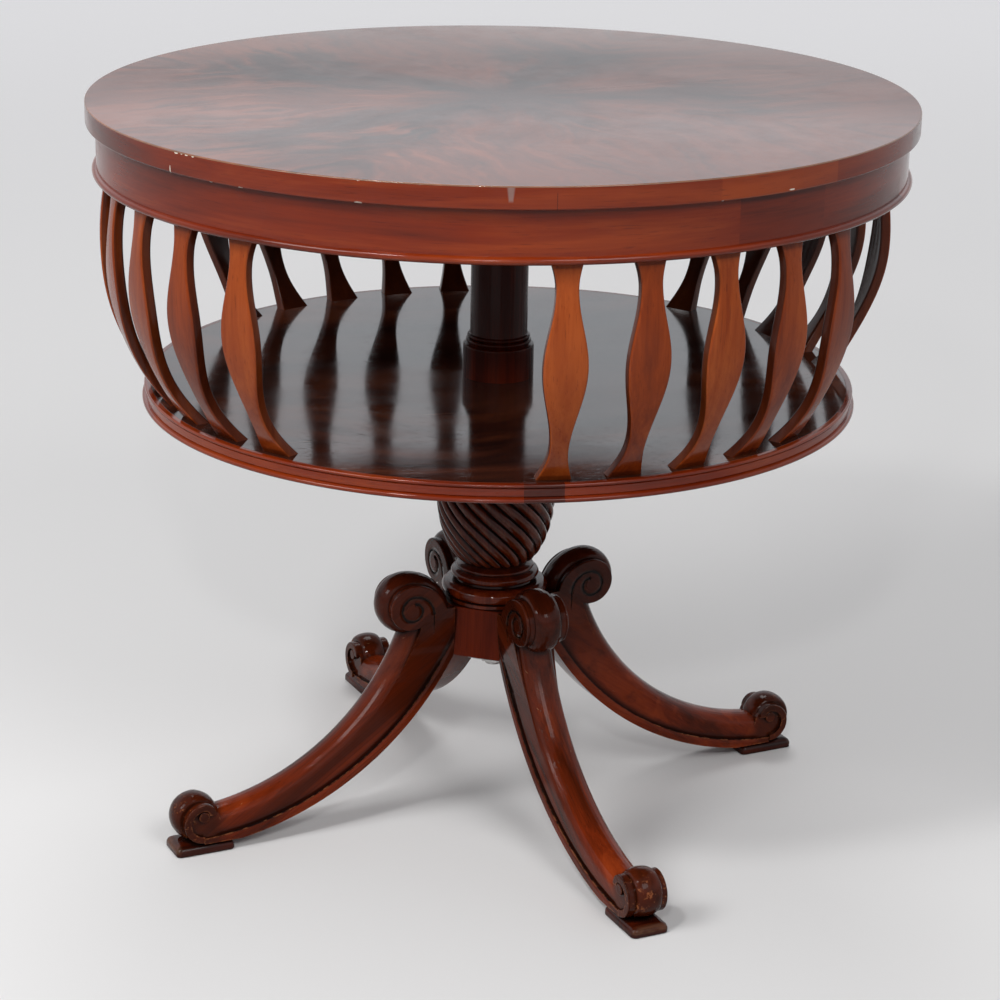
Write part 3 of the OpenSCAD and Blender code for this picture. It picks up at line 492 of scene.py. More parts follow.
def quarteredVeneer(name):
    wood = Finish(name, IOR=1.5)
    point, x, y, _ = wood.place()
    azimuth = wood.azimuth(x, y)
    out = wood.length(wood.joined(x, y, 0.0))
    leaf = wood.node("ShaderNodeMath", {"operation": "PINGPONG"},
                     {0: azimuth - quarters["seam"] + 360.0, 1: 45.0})
    turn = leaf * (math.pi / 180)
    u = out * wood.node("ShaderNodeMath", {"operation": "COSINE"}, {0: turn})
    v = out * wood.node("ShaderNodeMath", {"operation": "SINE"}, {0: turn})
    flat = wood.joined(u, v, 0.0)
    drift = wood.noise(flat, (7.5, 7.5, 1), 3, 0.6, out="Color")
    wander = wood.noise(point, (7.5, 7.5, 1), 3, 0.55, shift=(4, 2, 0))
    du, dv, _ = wood.parts(wood.drifted(flat, drift, quarters["drift"]))
    along = du * 0.8 + dv * 0.6
    across = dv * 0.8 - du * 0.6 + du * du * quarters["feather"]
    streak = wood.joined(along, across, 0.0)
    plume = wood.noise(streak, quarters["plume"], 5, 0.62, 0.5)
    broad = wood.noise(streak, quarters["broad"], 4, 0.6, 0.6, shift=(2, 5, 0))
    fine = wood.noise(streak, (40, 330, 1), 3, 0.6, shift=(5, 1, 0))
    bent = azimuth + (broad - 0.5) * 42 + (wander - 0.5) * 62
    shade = wood.limits(out + (wander - 0.5) * 0.16, 0.115, 0.02) * 0.75
    for middle, half, reach in arms:
        lobe = wood.limits((bent - middle).size(), half * 1.5, half * 0.45)
        lobe = lobe * wood.limits(out + (plume - 0.5) * 0.16, reach, reach - 0.09)
        shade = shade.atLeast(lobe * (0.55 + 0.45 * wander))
    level = broad * 0.34 + plume * 0.44 + fine * 0.22 - shade * 0.10
    colour = wood.ramp(level, [(0.30, quarters["dark"]), (0.46, quarters["middle"]),
                               (0.64, quarters["light"])])
    colour = wood.mix(shade * quarters["armShare"], colour, quarters["dark"])
    left = wood.limits(x * 0.75 + y * 0.66, 0.0, -0.16)  # the front left is the warmest
    warm = wood.limits(wander + (plume - 0.5) * 0.8, 0.46, 0.66)
    warm = warm * (1 - shade) * (0.15 + 0.85 * left)
    colour = wood.mix(warm * quarters["warmShare"], colour, quarters["warm"])
    seams = wood.limits((turn * out * 1000).size(), quarters["seamHalf"], 0.2)
    seams = seams * wood.limits(out, 0.03, 0.09)
    opened = wood.limits(azimuth, 60, 50) * wood.limits(out + (fine - 0.5) * 0.05, 0.26, 0.22)
    colour = wood.mix(seams * (quarters["seamShare"] + 0.78 * opened), colour, polish["dirtAndShade"])
    specks = wood.limits(wood.noise(point, (90, 90, 1), 1, 0.4, shift=(3, 3, 0)), 0.80, 0.83)
    colour = wood.mix(specks * quarters["speckShare"], colour, polish["dirtAndShade"])
    # a pale line along the outer arris: rubbed wear and a painted highlight
    edge = wood.limits(out, quarters["edge"], quarters["edge"] + 0.0008)
    colour = wood.mix(edge * quarters["arrisRubAndHighlightShare"], colour, polish["bare"])
    wood.wire("Base Color", colour)
    smear = wood.smears(point, (5, 9, 1), 5)
    cloth = wood.noise(point, (40, 26, 1), 3, 0.7, shift=(1, 9, 0))
    uneven = wood.limits(smear * 0.6 + cloth * 0.4, 0.3, 0.72, 0.08, 0.20)
    wood.wire("Roughness", uneven + seams * opened * 0.3)
    wood.bump(smear + plume * 0.10 - seams * opened * 2.0, 0.05, 0.0010)
    return wood.material


shelfFigure = {
    "drift": (0.30, 0.42, 0.0), "plume": (3.0, 13, 1), "mottle": (26, 60, 1), "angle": 34,
    "dark": (0.014, 0.006, 0.005), "middle": (0.050, 0.014, 0.008), "light": (0.15, 0.040, 0.016),
    "poreShare": 0.4, "hairlineShare": 0.35,
}


def shelfVeneer(name):
    wood = Finish(name, IOR=1.42)
    grain = wood.stored("grain", "Vector")
    drift = wood.noise(grain, (2.1, 2.1, 2.1), 2, 0.5, shift=(1.3, 0.4, 0), out="Color")
    bent = wood.drifted(grain, drift, shelfFigure["drift"])
    plume = wood.noise(bent, shelfFigure["plume"], 5, 0.62, 0.6)
    mottle = wood.noise(bent, shelfFigure["mottle"], 4, 0.65, 0.4)
    stops = [(0.36, shelfFigure["dark"]), (0.50, shelfFigure["middle"]), (0.68, shelfFigure["light"])]
    colour = wood.ramp(plume * 0.78 + mottle * 0.22, stops)
    pores = wood.limits(wood.noise(bent, (150, 700, 1), 2, 0.6), 0.60, 0.74)
    colour = wood.mix(pores * shelfFigure["poreShare"], colour, polish["dirtAndShade"])
    hairlines = wood.limits(wood.noise(grain, (9, 420, 1), 2, 0.5, shift=(2, 8, 0)), 0.76, 0.80)
    colour = wood.mix(hairlines * shelfFigure["hairlineShare"], colour, polish["bare"])
    wood.wire("Base Color", colour)
    smear = wood.smears(grain, (5, 9, 1), 5)
    wood.wire("Roughness", wood.limits(smear, 0.3, 0.75, 0.05, 0.15))
    wood.bump(smear + pores * -0.2, 0.08, 0.0012)
    return wood.material


# Carved legs: reach is the distance from the table's axis along a leg, aside the distance from its middle

scroll = {"reach": 0.0955, "height": 0.2175, "face": 0.0195, "shoulder": 0.0036}
band = {"reach": 0.3159, "height": 0.3084, "radius": 0.293, "face": 0.0150}  # line along the lower band
scrollLine = [  # quarter circles in mm: centre beside and above the scroll's own, radius, and its quarter
    (-2.0, -9.0, 20.0, -1, 1), (-2.0, -2.0, 13.0, 1, 1), (-0.3, -2.0, 11.3, 1, -1),
    (-0.3, -3.7, 9.6, -1, -1), (-2.0, -3.7, 7.9, -1, 1),
]
carving = {
    "lean": (0.82, 0.57), "hollowShade": 0.011, "arris": 0.0022,
    "hubFrom": 0.10, "hubTo": 0.185, "toeReach": 0.280, "toeHigh": 0.075, "noseReach": 0.306, "low": 0.085,
    "mottle": (11, 34, 34), "scuffs": (90, 90, 190), "knocks": (75, 75, 95), "scratches": (22, 900, 160),
    "hubShadeShare": 0.55, "hollowShadeShare": 0.92, "lineShadeShare": 0.85, "bandShadowShare": 0.80, "toeShare": 0.72,
    "wornShare": 0.70, "scratchShare": 0.5,
}


def fromScrollLine(wood, reach, z):  # distance from the line carved on a top scroll
    nearest = 1.0
    for beside, above, radius, wayOut, wayUp in scrollLine:
        u = reach - (scroll["reach"] + beside / 1000)
        v = z - (scroll["height"] + above / 1000)
        away = (wood.length(wood.joined(u, v, 0.0)) - radius / 1000).size()
        outside = (u * -wayOut).atLeast(v * -wayUp).atLeast(0.0)
        nearest = (away + outside * 4).atMost(nearest)
    return nearest


def carvedLegs(name):  # the legs stand on the diagonals, so folding x and y lays all four on one
    wood = Finish(name, IOR=polish["lowIor"])
    light, _, dark = shades["legs"]
    point, x, y, z = wood.place()
    reach = (x.size() + y.size()) * math.sqrt(0.5)
    aside = (x.size() - y.size()) * math.sqrt(0.5)
    ca, sa = carving["lean"]
    lean = wood.joined(reach * ca - z * sa + (x * 0.4 + y * 1.3), z * ca + reach * sa, aside)
    colour, pore = figured(wood, lean, 0.0, shades["legs"])
    mottle = wood.noise(lean, carving["mottle"], 4, 0.62, 0.5, shift=(2, 8, 5))
    colour = wood.mix(wood.limits(mottle, 0.52, 0.70) * 0.60, colour, dark)
    colour = wood.mix(wood.limits(mottle, 0.48, 0.34) * 0.45, colour, light)
    # painted shade on the upper legs, near the hub
    shadeNearHub = wood.limits(z, carving["hubFrom"], carving["hubTo"])
    colour = wood.mix(shadeNearHub * carving["hubShadeShare"], colour, dark)

    # painted shade in the hollows, along the carved scroll lines and above the lower band
    hollowShade = wood.limits(wood.hollows(carving["hollowShade"], local=True), 0.90, 0.45)
    colour = wood.mix(hollowShade * carving["hollowShadeShare"], colour, polish["dirtAndShade"])
    onFace = wood.limits(aside.size(), scroll["face"] - 0.001, scroll["face"])
    line = fromScrollLine(wood, reach, z)
    # painted shade: a dark band wider than the carved line, so the groove looks deeper
    lineShade = wood.limits(line, 0.0027, 0.0008) * onFace
    colour = wood.mix(lineShade * carving["lineShadeShare"], colour, polish["dirtAndShade"])
    swept = wood.length(wood.joined(reach - band["reach"], z - band["height"], 0.0)) - band["radius"]
    onSide = wood.limits(aside.size(), band["face"] - 0.001, band["face"])
    onSide = onSide * wood.limits(reach, 0.300, 0.290)
    # painted shadow on the body just above the lower band's step
    above = wood.limits(swept, -0.0085, -0.0002) * wood.limits(swept, 0.0012, 0.0)
    colour = wood.mix(above * onSide * carving["bandShadowShare"], colour, polish["dirtAndShade"])
    toe = wood.limits(reach, carving["toeReach"], carving["toeReach"] + 0.020)
    toe = toe * wood.limits(z, carving["toeHigh"], carving["toeHigh"] - 0.015)
    colour = wood.mix(toe * carving["toeShare"], colour, dark)

    # rubbed edges, knocks on the nose of the toe, and scratches
    arris = wood.limits(wood.hollows(carving["arris"], local=True, inside=True), 0.86, 0.55)
    scuffs = wood.limits(wood.noise(point, carving["scuffs"], 4, 0.7, shift=(5, 2, 8)), 0.44, 0.60)
    low = wood.limits(z, carving["low"], carving["low"] - 0.055)
    rubbed = arris * scuffs * (0.30 + 0.70 * low)
    nose = low * wood.limits(reach, carving["noseReach"], carving["noseReach"] + 0.020)
    knocks = wood.limits(wood.noise(point, carving["knocks"], 4, 0.8, shift=(9, 4, 3)), 0.57, 0.66)
    worn = (rubbed + knocks * nose).atMost(1.0)
    colour = wood.mix(worn * carving["wornShare"], colour, polish["worn"])
    scratch = wood.limits(wood.noise(lean, carving["scratches"], 2, 0.6, shift=(4, 2, 1)), 0.74, 0.78)
    colour = wood.mix(scratch * carving["scratchShare"], colour, polish["bare"])
    wood.wire("Base Color", colour)
    smear = wood.smears(point, (30, 30, 30))
    wood.wire("Roughness", wood.limits(smear, 0.35, 0.75, 0.07, 0.18) + worn * 0.25)
    shoulder = wood.limits(line, 0.0, scroll["shoulder"]) * onFace
    shoulder = shoulder - wood.limits(swept.size(), 0.0040, 0.0) * onSide * 0.8
    wood.bump(pore * -0.04 + smear * 0.06 + mottle * 0.05 + shoulder, 0.9, 0.0011)
    return wood.material


# Hidden oak and metal

def plainOak(name, dark=(0.20, 0.115, 0.055), light=(0.48, 0.32, 0.17)):
    wood = Finish(name, Roughness=0.6, IOR=1.45)
    point = wood.point()
    rings = wood.noise(point, (9, 120, 120), 3, 0.6, 0.4)
    flecks = wood.noise(point, (60, 700, 700), 2, 0.5)
    wood.wire("Base Color", wood.ramp(rings * 0.7 + flecks * 0.3, [(0.3, dark), (0.7, light)]))
    wood.bump(flecks, 0.25, 0.0005)
    return wood.material


def metal(name, bright, dull, roughness):
    iron = Finish(name, Metallic=1.0)
    point = iron.point()
    stain = iron.noise(point, (60, 60, 60), 5, 0.65)
    brushed = iron.noise(point, (300, 300, 2600), 2, 0.5)
    iron.wire("Base Color", iron.mix(iron.limits(stain, 0.42, 0.68), bright, dull))
    iron.wire("Roughness", iron.limits(stain, 0.3, 0.7, roughness, roughness * 1.8) + brushed * 0.08)
    iron.bump(brushed, 0.08, 0.0003)
    return iron.material


finishes = {
    "mahogany": mahogany("polished_mahogany"),
    "post": mahogany("post_mahogany", ior=polish["lowIor"]),
    "slats": mahogany("slat_mahogany", "slats", ior=1.25),
    "hub": mahogany("hub_mahogany", "hub", ior=1.16, shadeReach=0.016),
    "lipping": edgeMahogany("lipping_mahogany"),
    "legs": carvedLegs("leg_mahogany"),
    "carved": mahogany("carved_mahogany", "carved", 0.06, 1.27, 0.006),
    "topVeneer": quarteredVeneer("top_flame_veneer"),
    "shelfVeneer": shelfVeneer("shelf_flame_veneer"),
    "oak": plainOak("bare_oak"),
    "steel": metal("oiled_steel", (0.46, 0.45, 0.44), (0.20, 0.18, 0.17), 0.30),
    "brass": metal("turned_brass", (0.66, 0.47, 0.20), (0.36, 0.24, 0.11), 0.25),
}
print("finishes made")


# The legs and the hidden pieces keep the frame's own shapes

slotNames = {s["node"]: s["material_slot"] for s in frame["record"]["subparts"]}
for nodeName, node in nodes.items():
    legNode = nodeName.startswith("leg_") and nodeName != "leg_dowels"
    if legNode or slotNames[nodeName] in ("oak", "steel", "brass"):
        finishPiece(node, "legs" if legNode else slotNames[nodeName])
        soften(node.data, creases["legs"] if legNode else creases["hidden"])


# Table top, lipping, apron and bead

tableTop = {
    "veneer": 0.0012, "tongue": 0.015, "lippingWide": 0.0148, "lowRound": 0.002, "crisp": 0.0003,
    "axisHole": 0.0005, "steps": 480,
}
apron = {
    "thick": 0.022, "steps": 360,
    "joints": [20, 110, 200, 321, 336], "tones": [-0.02, 0.0, -0.03, 0.03, -0.075],
}
bead = {"steps": 480, "joints": [12, 74, 170, 232, 300], "tones": [0.02, 0.06, 0.0, 0.01, 0.0]}


def makeTop():
    low, high = lowHigh("table_top")
    outer = radiusOf("table_top")
    hole, panel, veneer = tableTop["axisHole"], outer - tableTop["tongue"], tableTop["veneer"]
    profile = [(hole, low), (panel, low), (panel, high - veneer), (outer - 0.0001, high - veneer)]
    profile += arc((outer - veneer, high - veneer), veneer, 15, 90, 6)
    profile += [(hole, high)]
    shape = turned(profile, tableTop["steps"])
    newPiece("veneered_top", shape, "drum", "table_top", "topVeneer")


def makeLipping():
    low, high = lowHigh("top_lipping")
    outer = radiusOf("top_lipping")
    inner, r, crisp = outer - tableTop["lippingWide"], tableTop["lowRound"], tableTop["crisp"]
    profile = [(inner, low)] + arc((outer - r, low + r), r, -90, 0, 8)
    profile += [(outer, high - crisp), (outer - crisp, high), (inner, high)]
    shape = turned(profile, tableTop["steps"])
    newPiece("solid_lipping", shape, "drum", "top_lipping", "lipping")


def makeApron():
    low, high = lowHigh("apron")
    outer = radiusOf("apron")
    inner = outer - apron["thick"]
    shape = turned([(inner, low), (outer, low), (outer, high), (inner, high)], apron["steps"])
    piece = newPiece("apron_rail", shape, "drum", "apron", "mahogany")
    stamp(piece, grainRound(outer, apron["joints"], apron["tones"]))


def makeBead():
    low, high = lowHigh("apron_bead")
    outer = radiusOf("apron_bead")
    face = radiusOf("apron")
    middle, half = (low + high) / 2, (high - low) / 2
    nose = oval((face, middle), outer - face, half, -90, 90, 14)
    back = face - apron["thick"]
    shape = turned([(back, low)] + nose + [(back, high)], bead["steps"])
    piece = newPiece("bead_rail", shape, "drum", "apron_bead", "mahogany")
    stamp(piece, grainRound(outer, bead["joints"], bead["tones"]))


makeTop()
makeLipping()
makeApron()
makeBead()
print("top made")


# Slats

slat = {
    "perGroup": 5, "pitch": 11.2, "turn": 5.3, "thick": 0.010, "soft": 0.0021,
    "topWidth": 0.0274, "neckWidth": 0.019, "bellyWidth": 0.0377, "ankleWidth": 0.016, "footWidth": 0.0305,
    "ankle": 0.17, "belly": 0.55, "neck": 0.89,
    "setTop": 0.008, "setFoot": 0.014, "bulge": 0.036, "topPull": 0.29, "footPull": 0.31,
    "levels": 64, "bunching": 0.35, "tones": (-0.05, 0.07),
    "innerShade": 0.85, "sideShade": 0.65, "footShadow": 0.45, "footShadowLevels": 2,
}


def ease(a, b, t):
    return a + (b - a) * (1 - math.cos(math.pi * t)) / 2


def flare(a, b, t):
    return a + (b - a) * (1 - math.cos(math.pi / 2 * t))


def slatHalf(s):  # half width, from 0 at the shelf to 1 at the top
    ankle, belly, neck = slat["ankle"], slat["belly"], slat["neck"]
    if s < ankle:
        width = flare(slat["ankleWidth"], slat["footWidth"], 1 - s / ankle)
    elif s < belly:
        width = ease(slat["ankleWidth"], slat["bellyWidth"], (s - ankle) / (belly - ankle))
    elif s < neck:
        width = ease(slat["bellyWidth"], slat["neckWidth"], (s - belly) / (neck - belly))
    else:
        width = flare(slat["neckWidth"], slat["topWidth"], (s - neck) / (1 - neck))
    return width / 2


def slatFaces():  # outer and inner radius at each level of the slat
    shelfTop, beadLow = lowHigh("shelf_rim")[1], lowHigh("apron_bead")[0]
    high = beadLow - shelfTop
    topR = radiusOf("apron") - slat["setTop"]
    footR = radiusOf("shelf_rim") - slat["setFoot"]
    handles = [Vector((topR, beadLow)),
               Vector((topR + slat["bulge"] / 3, beadLow - high * slat["topPull"])),
               Vector((topR + slat["bulge"] / 3, shelfTop + high * slat["footPull"])),
               Vector((footR, shelfTop))]

    def outer(t):
        return ((1 - t) ** 3 * handles[0] + 3 * (1 - t) ** 2 * t * handles[1]
                + 3 * (1 - t) * t * t * handles[2] + t ** 3 * handles[3])

    def inner(t):
        run = (outer(t + 0.01) - outer(t - 0.01)).normalized()
        return outer(t) - slat["thick"] * Vector((-run.y, run.x))

    def radiusAt(curve, level):  # halves the stretch of curve that holds the level, 40 times
        above, below = -0.2, 1.3
        for _ in range(40):
            middle = (above + below) / 2
            if curve(middle).y > level:
                above = middle
            else:
                below = middle
        return curve(above).x

    levels = []
    for i in range(slat["levels"] + 1):
        u = i / slat["levels"]
        s = ease(0, 1, u) * slat["bunching"] + u * (1 - slat["bunching"])
        level = shelfTop + high * s
        levels.append((s, level, radiusAt(outer, level), radiusAt(inner, level)))
    return levels


slatLevels = slatFaces()


def makeSlat(name, node, angle, index):
    rings = []
    for s, level, outerR, innerR in slatLevels:
        section = roundedBox(innerR, outerR, slatHalf(s), slat["soft"], 5)
        rings.append(swung(section, angle, level))
    piece = newPiece(name, shell(rings), "drum", node, "slats")
    tone = random.Random(index).uniform(*slat["tones"])
    ca, sa = math.cos(math.radians(angle)), math.sin(math.radians(angle))

    def rule(point, face):  # painted shade: the sides are darker, the inner faces darker still, and the feet get a painted shadow
        outward = face.normal.x * ca + face.normal.y * sa
        # stain here is painted shade, chosen by which way the face turns
        stain = slat["innerShade"] if outward < -0.3 else slat["sideShade"] if outward < 0.35 else 0.0
        if point.z < slatLevels[slat["footShadowLevels"]][1]:
            stain = max(stain, slat["footShadow"])
        return (point.z + index * 1.37, point.x + index * 4.1, point.y), (tone, -stain, 0)
    stamp(piece, rule)


for side, sideName in enumerate(("right", "left")):
    for index in range(2 * slat["perGroup"]):
        group, place = divmod(index, slat["perGroup"])
        middle = slat["turn"] + side * 180 + (group - 0.5) * 90
        angle = middle + (place - (slat["perGroup"] - 1) / 2) * slat["pitch"]
        ending = f"{sideName}_{index + 1}"
        makeSlat(f"wavy_slat_{ending}", f"slat_{ending}", angle, side * 10 + index)
print("slats made")


# Shelf and its rim

shelf = {"bore": 0.0145, "veneer": 0.0006, "veneerBack": 0.0078, "crisp": 0.0002, "steps": 300}
rim = {
    "bead": 0.0046, "topBead": 0.0036, "bandBack": 0.0034, "topBack": 0.002, "steps": 480,
    "joints": [45, 130, 220, 293.5, 299.6], "tones": [0.06, 0.02, 0.04, 0.03, -0.11],
}


def makeShelf():  # its veneer reaches over the rim, under the slats
    low, high = lowHigh("shelf_board")
    boardR = radiusOf("shelf_board")
    rimR = radiusOf("shelf_rim")
    bore, crisp = shelf["bore"], shelf["crisp"]
    faceR, under = rimR - shelf["veneerBack"], high - shelf["veneer"]
    profile = [(bore, low), (boardR, low), (boardR, under), (faceR, under), (faceR, high - crisp),
               (faceR - crisp, high), (bore, high)]
    shape = turned(profile, shelf["steps"])
    piece = newPiece("veneered_shelf", shape, "drum", "shelf_board", "shelfVeneer")
    stamp(piece, grainFlat(shelfFigure["angle"], 2.0))

    beadHalf, topHalf = rim["bead"] / 2, rim["topBead"] / 2
    bandR, topR = rimR - rim["bandBack"], rimR - rim["topBack"]
    bandLow, bandHigh = low + rim["bead"], high - rim["topBead"]
    profile = [(boardR + 0.0002, low)]
    profile += arc((rimR - beadHalf, low + beadHalf), beadHalf, -90, 90, 12)
    profile += [(bandR - 0.0008, bandLow + 0.0004), (bandR, bandLow + 0.0012),
                (bandR, bandHigh - 0.0008), (bandR - 0.001, bandHigh)]
    profile += arc((topR - topHalf, high - topHalf), topHalf, -70, 90, 12)
    profile += [(faceR + 0.0001, high), (faceR + 0.0001, under - 0.0001), (boardR + 0.0002, under - 0.0001)]
    shape = turned(profile, rim["steps"])
    piece = newPiece("moulded_rim", shape, "drum", "shelf_rim", "mahogany")
    stamp(piece, grainRound(rimR, rim["joints"], rim["tones"]))


makeShelf()
print("shelf made")


# Centre post and pedestal turnings

post = {
    "radius": 0.027, "bore": 0.0135, "collar": 0.0335, "collarHigh": 0.0315, "collarRound": 0.002,
    "bead": 0.0022, "ringShare": 0.6, "lowRing": 0.003, "highRing": 0.0074, "ringsHigh": 0.0111,
    "tone": -0.15,
}
turning = {"bore": 0.0085, "steps": 200}  # the spindle runs in the bore
cap = {"lip": 0.005, "step": 0.002, "crisp": 0.0006}
neck = {"foot": 0.003, "waist": 0.026, "waistAt": 0.4, "bead": 0.006, "steps": 20}
base = {
    "fillet": 0.0045, "torus": 0.013, "cove": 0.003, "ring": 0.008, "ringRadius": 0.0425,
    "edge": 0.003, "bead": 0.002,
}
vase = {
    "foot": 0.0335, "widest": 0.057, "top": 0.040, "shoulder": 0.66, "fullness": 0.7,
    "reeds": 22, "depth": 0.0035, "roundness": 0.75, "turn": 112, "around": 16, "levels": 72,
    "bunching": 0.6, "wear": 0.34, "wearUp": 1.6,
}


def makeTurning(name, node, profile, shift, finishName="carved",
                body="pedestal", tone=0.0):
    piece = newPiece(name, turned(profile, turning["steps"]), body, node, finishName)
    stamp(piece, grainUp(shift, tone))


def makePost():
    foot = lowHigh("centre_post")[0]
    low = lowHigh("shelf_board")[1]
    high = lowHigh("post_head_block")[0]
    radius, collar, collarTop = post["radius"], post["collar"], low + post["collarHigh"]
    bead, r = post["bead"], post["collarRound"]
    ring = (collar - radius) * post["ringShare"]
    lowRing, highRing = collarTop + post["lowRing"], collarTop + post["highRing"]
    profile = [(post["bore"], foot), (collar, foot), (collar, collarTop - r)]
    profile += arc((collar - r, collarTop - r), r, 0, 90, 6)
    profile += [(radius + ring, collarTop + 0.0003)]
    profile += arc((radius + ring - bead, lowRing), bead, -60, 90, 8)
    profile += [(radius + 0.001, lowRing + bead + 0.0001)]
    profile += arc((radius + 0.0005, highRing), bead, -60, 90, 8)
    profile += [(radius, collarTop + post["ringsHigh"]), (radius, high), (post["bore"], high)]
    makeTurning("turned_post", "centre_post", profile, 1.1, "post", "drum", post["tone"])


def makeCap():  # a quarter-round from the neck out to the lip
    low, high = lowHigh("pedestal_cap")
    outer = radiusOf("pedestal_cap")
    thick = high - low
    lip, crisp = cap["lip"], cap["crisp"]
    profile = [(turning["bore"], low), (outer - thick, low)]
    profile += oval((outer - thick, low + thick - lip), thick - cap["step"], thick - lip, -90, 0, 14)
    profile += [(outer - 0.0004, high - lip), (outer, high - lip + 0.0005), (outer, high - crisp),
                (outer - crisp, high), (turning["bore"], high)]
    makeTurning("turned_cap", "pedestal_cap", profile, 2.2)


def makeNeck():
    low, high = lowHigh("pedestal_neck")
    outer = radiusOf("pedestal_neck")
    foot, waist, bead, waistAt = vase["top"] - vase["depth"], neck["waist"], neck["bead"], neck["waistAt"]
    hollowLow, hollowTall = low + neck["foot"], high - low - neck["foot"] - 2 * bead
    profile = [(turning["bore"], low), (foot, low), (foot, hollowLow)]
    for i in range(neck["steps"] + 1):
        t = i / neck["steps"]
        if t < waistAt:
            out = (foot - 0.002 - waist) * (1 - t / waistAt) ** 2
        else:
            out = (outer - bead - waist) * ((t - waistAt) / (1 - waistAt)) ** 2
        profile.append((waist + out, hollowLow + hollowTall * t))
    profile += arc((outer - bead, high - bead), bead, -90, 90, 12) + [(turning["bore"], high)]
    makeTurning("turned_neck", "pedestal_neck", profile, 3.3)


def makeBase():  # fillet, torus, cove, ring and the bead that the vase stands in
    low, high = lowHigh("base_turning")
    torusR, ringR, seat, edge = radiusOf("base_turning"), base["ringRadius"], vase["foot"], base["edge"]
    torusHalf, ringHalf = base["torus"] / 2, base["ring"] / 2
    torusLow = low + base["fillet"]
    ringLow = torusLow + base["torus"] + base["cove"]
    ringTop = ringLow + base["ring"]
    profile = [(turning["bore"], low), (torusR - edge - 0.0004, low), (torusR - edge, low + 0.0004),
               (torusR - edge, torusLow - 0.001), (torusR - torusHalf + 0.001, torusLow - 0.0002)]
    profile += arc((torusR - torusHalf, torusLow + torusHalf), torusHalf, -84, 84, 20)
    profile += [(ringR - ringHalf - 0.0005, torusLow + base["torus"] + 0.0006),
                (ringR - ringHalf - 0.001, ringLow - 0.0006)]
    profile += arc((ringR - ringHalf, ringLow + ringHalf), ringHalf, -84, 84, 14)
    profile += [(seat + 0.0035, ringTop + 0.0008)]
    profile += arc((seat + 0.002, ringTop + 0.003), base["bead"], -60, 90, 8)
    profile += [(seat, high - 0.002), (seat - vase["depth"] * 0.6, high), (turning["bore"], high)]
    makeTurning("turned_base", "base_turning", profile, 4.4)


# Spiral vase

def vaseRadius(t):  # from 0 at its foot to 1 at its top
    if t < vase["shoulder"]:
        s = t / vase["shoulder"]
        return vase["foot"] + (vase["widest"] - vase["foot"]) * (s * (2 - s)) ** vase["fullness"]
    s = (t - vase["shoulder"]) / (1 - vase["shoulder"])
    return vase["top"] + (vase["widest"] - vase["top"]) * math.sqrt(max(0, 1 - s * s))


def makeVase():
    low, high = lowHigh("spiral_vase")
    count = vase["reeds"] * vase["around"]
    rings = []
    for i in range(vase["levels"] + 1):
        u = i / vase["levels"]
        t = ease(0, 1, u) * vase["bunching"] + u * (1 - vase["bunching"])
        ring = []
        for j in range(count):
            a = 2 * math.pi * j / count
            swell = abs(math.cos(a * vase["reeds"] / 2)) ** vase["roundness"]
            r = vaseRadius(t) - vase["depth"] * (1 - swell)
            b = a - math.radians(vase["turn"]) * t
            ring.append((r * math.cos(b), r * math.sin(b), low + (high - low) * t))
        rings.append(ring)
    shape = shell(rings)
    piece = newPiece("spiral_reeded_vase", shape, "pedestal", "spiral_vase", "carved")

    def reedWear(point):  # rubbed on the reeds and darker between them
        t = min(1, max(0, (point.z - low) / (high - low)))
        out = (math.hypot(point.x, point.y) - vaseRadius(t)) / vase["depth"]
        return vase["wear"] + out * vase["wearUp"] if out > -1 else -1.0
    stamp(piece, grainUp(5.5, wear=reedWear))


makePost()
makeCap()
makeNeck()
makeVase()
makeBase()
print("pedestal turned")


# Hub

hub = {"legFace": 0.0515, "soft": 0.0008, "tone": 0.04}


def makeHub():
    low, high = lowHigh("hub_block")
    flat = radiusOf("hub_block")
    corner = hub["legFace"] * math.sqrt(2) - flat  # where a leg face meets a bare face
    edge = [(flat, -corner), (flat, corner)]
    rings = [[p for i in range(4) for p in swung(edge, 90 * i, z)] for z in (low, high)]
    piece = newPiece("eight_sided_hub", shell(rings), "pedestal", "hub_block", "hub")
    piece.data.shade_flat()
    bevel = piece.modifiers.new("softened", "BEVEL")
    bevel.width, bevel.segments = hub["soft"], 3
    stamp(piece, grainUp(6.6, hub["tone"]))


# Foot pads

pad = {
    "half": 0.0185, "inner": 0.277, "outer": 0.335, "corner": 0.005, "tone": -0.12,
    "wear": 0.34, "wearFrom": 0.322, "wearOver": 0.012, "wearAbove": 0.002,
    "steps": [  # height, and how far the outline stands back there
        (0.0, 0.0006), (0.0006, 0.0), (0.0045, 0.0), (0.0060, 0.0004), (0.0073, 0.0012),
        (0.0084, 0.0024), (0.0092, 0.0038), (0.0098, 0.0056), (0.0100, 0.0075),
    ],
}


def makePads():
    points, faces = [], []
    for i in range(4):
        rings = []
        for z, back in pad["steps"]:
            r = max(0.0012, pad["corner"] - back * 0.5)
            outline = roundedBox(pad["inner"] + back, pad["outer"] - back, pad["half"] - back, r, 6)
            rings.append(swung(outline, 45 + 90 * i, z))
        morePoints, moreFaces = shell(rings)
        faces += [tuple(len(points) + k for k in f) for f in moreFaces]
        points += morePoints
    shape = points, faces
    piece = newPiece("bevelled_pads", shape, "pedestal", "foot_pads", "carved")

    def padWear(point):  # the nose is rubbed
        out = (abs(point.x) + abs(point.y)) * math.sqrt(0.5)
        rubbed = max(0, (out - pad["wearFrom"]) / pad["wearOver"])
        return pad["wear"] * rubbed * (point.z > pad["wearAbove"])
    stamp(piece, grainFlat(45, 7.7, pad["tone"], padWear))


makeHub()
makePads()
print("hub and pads made")


# Floor, light and background

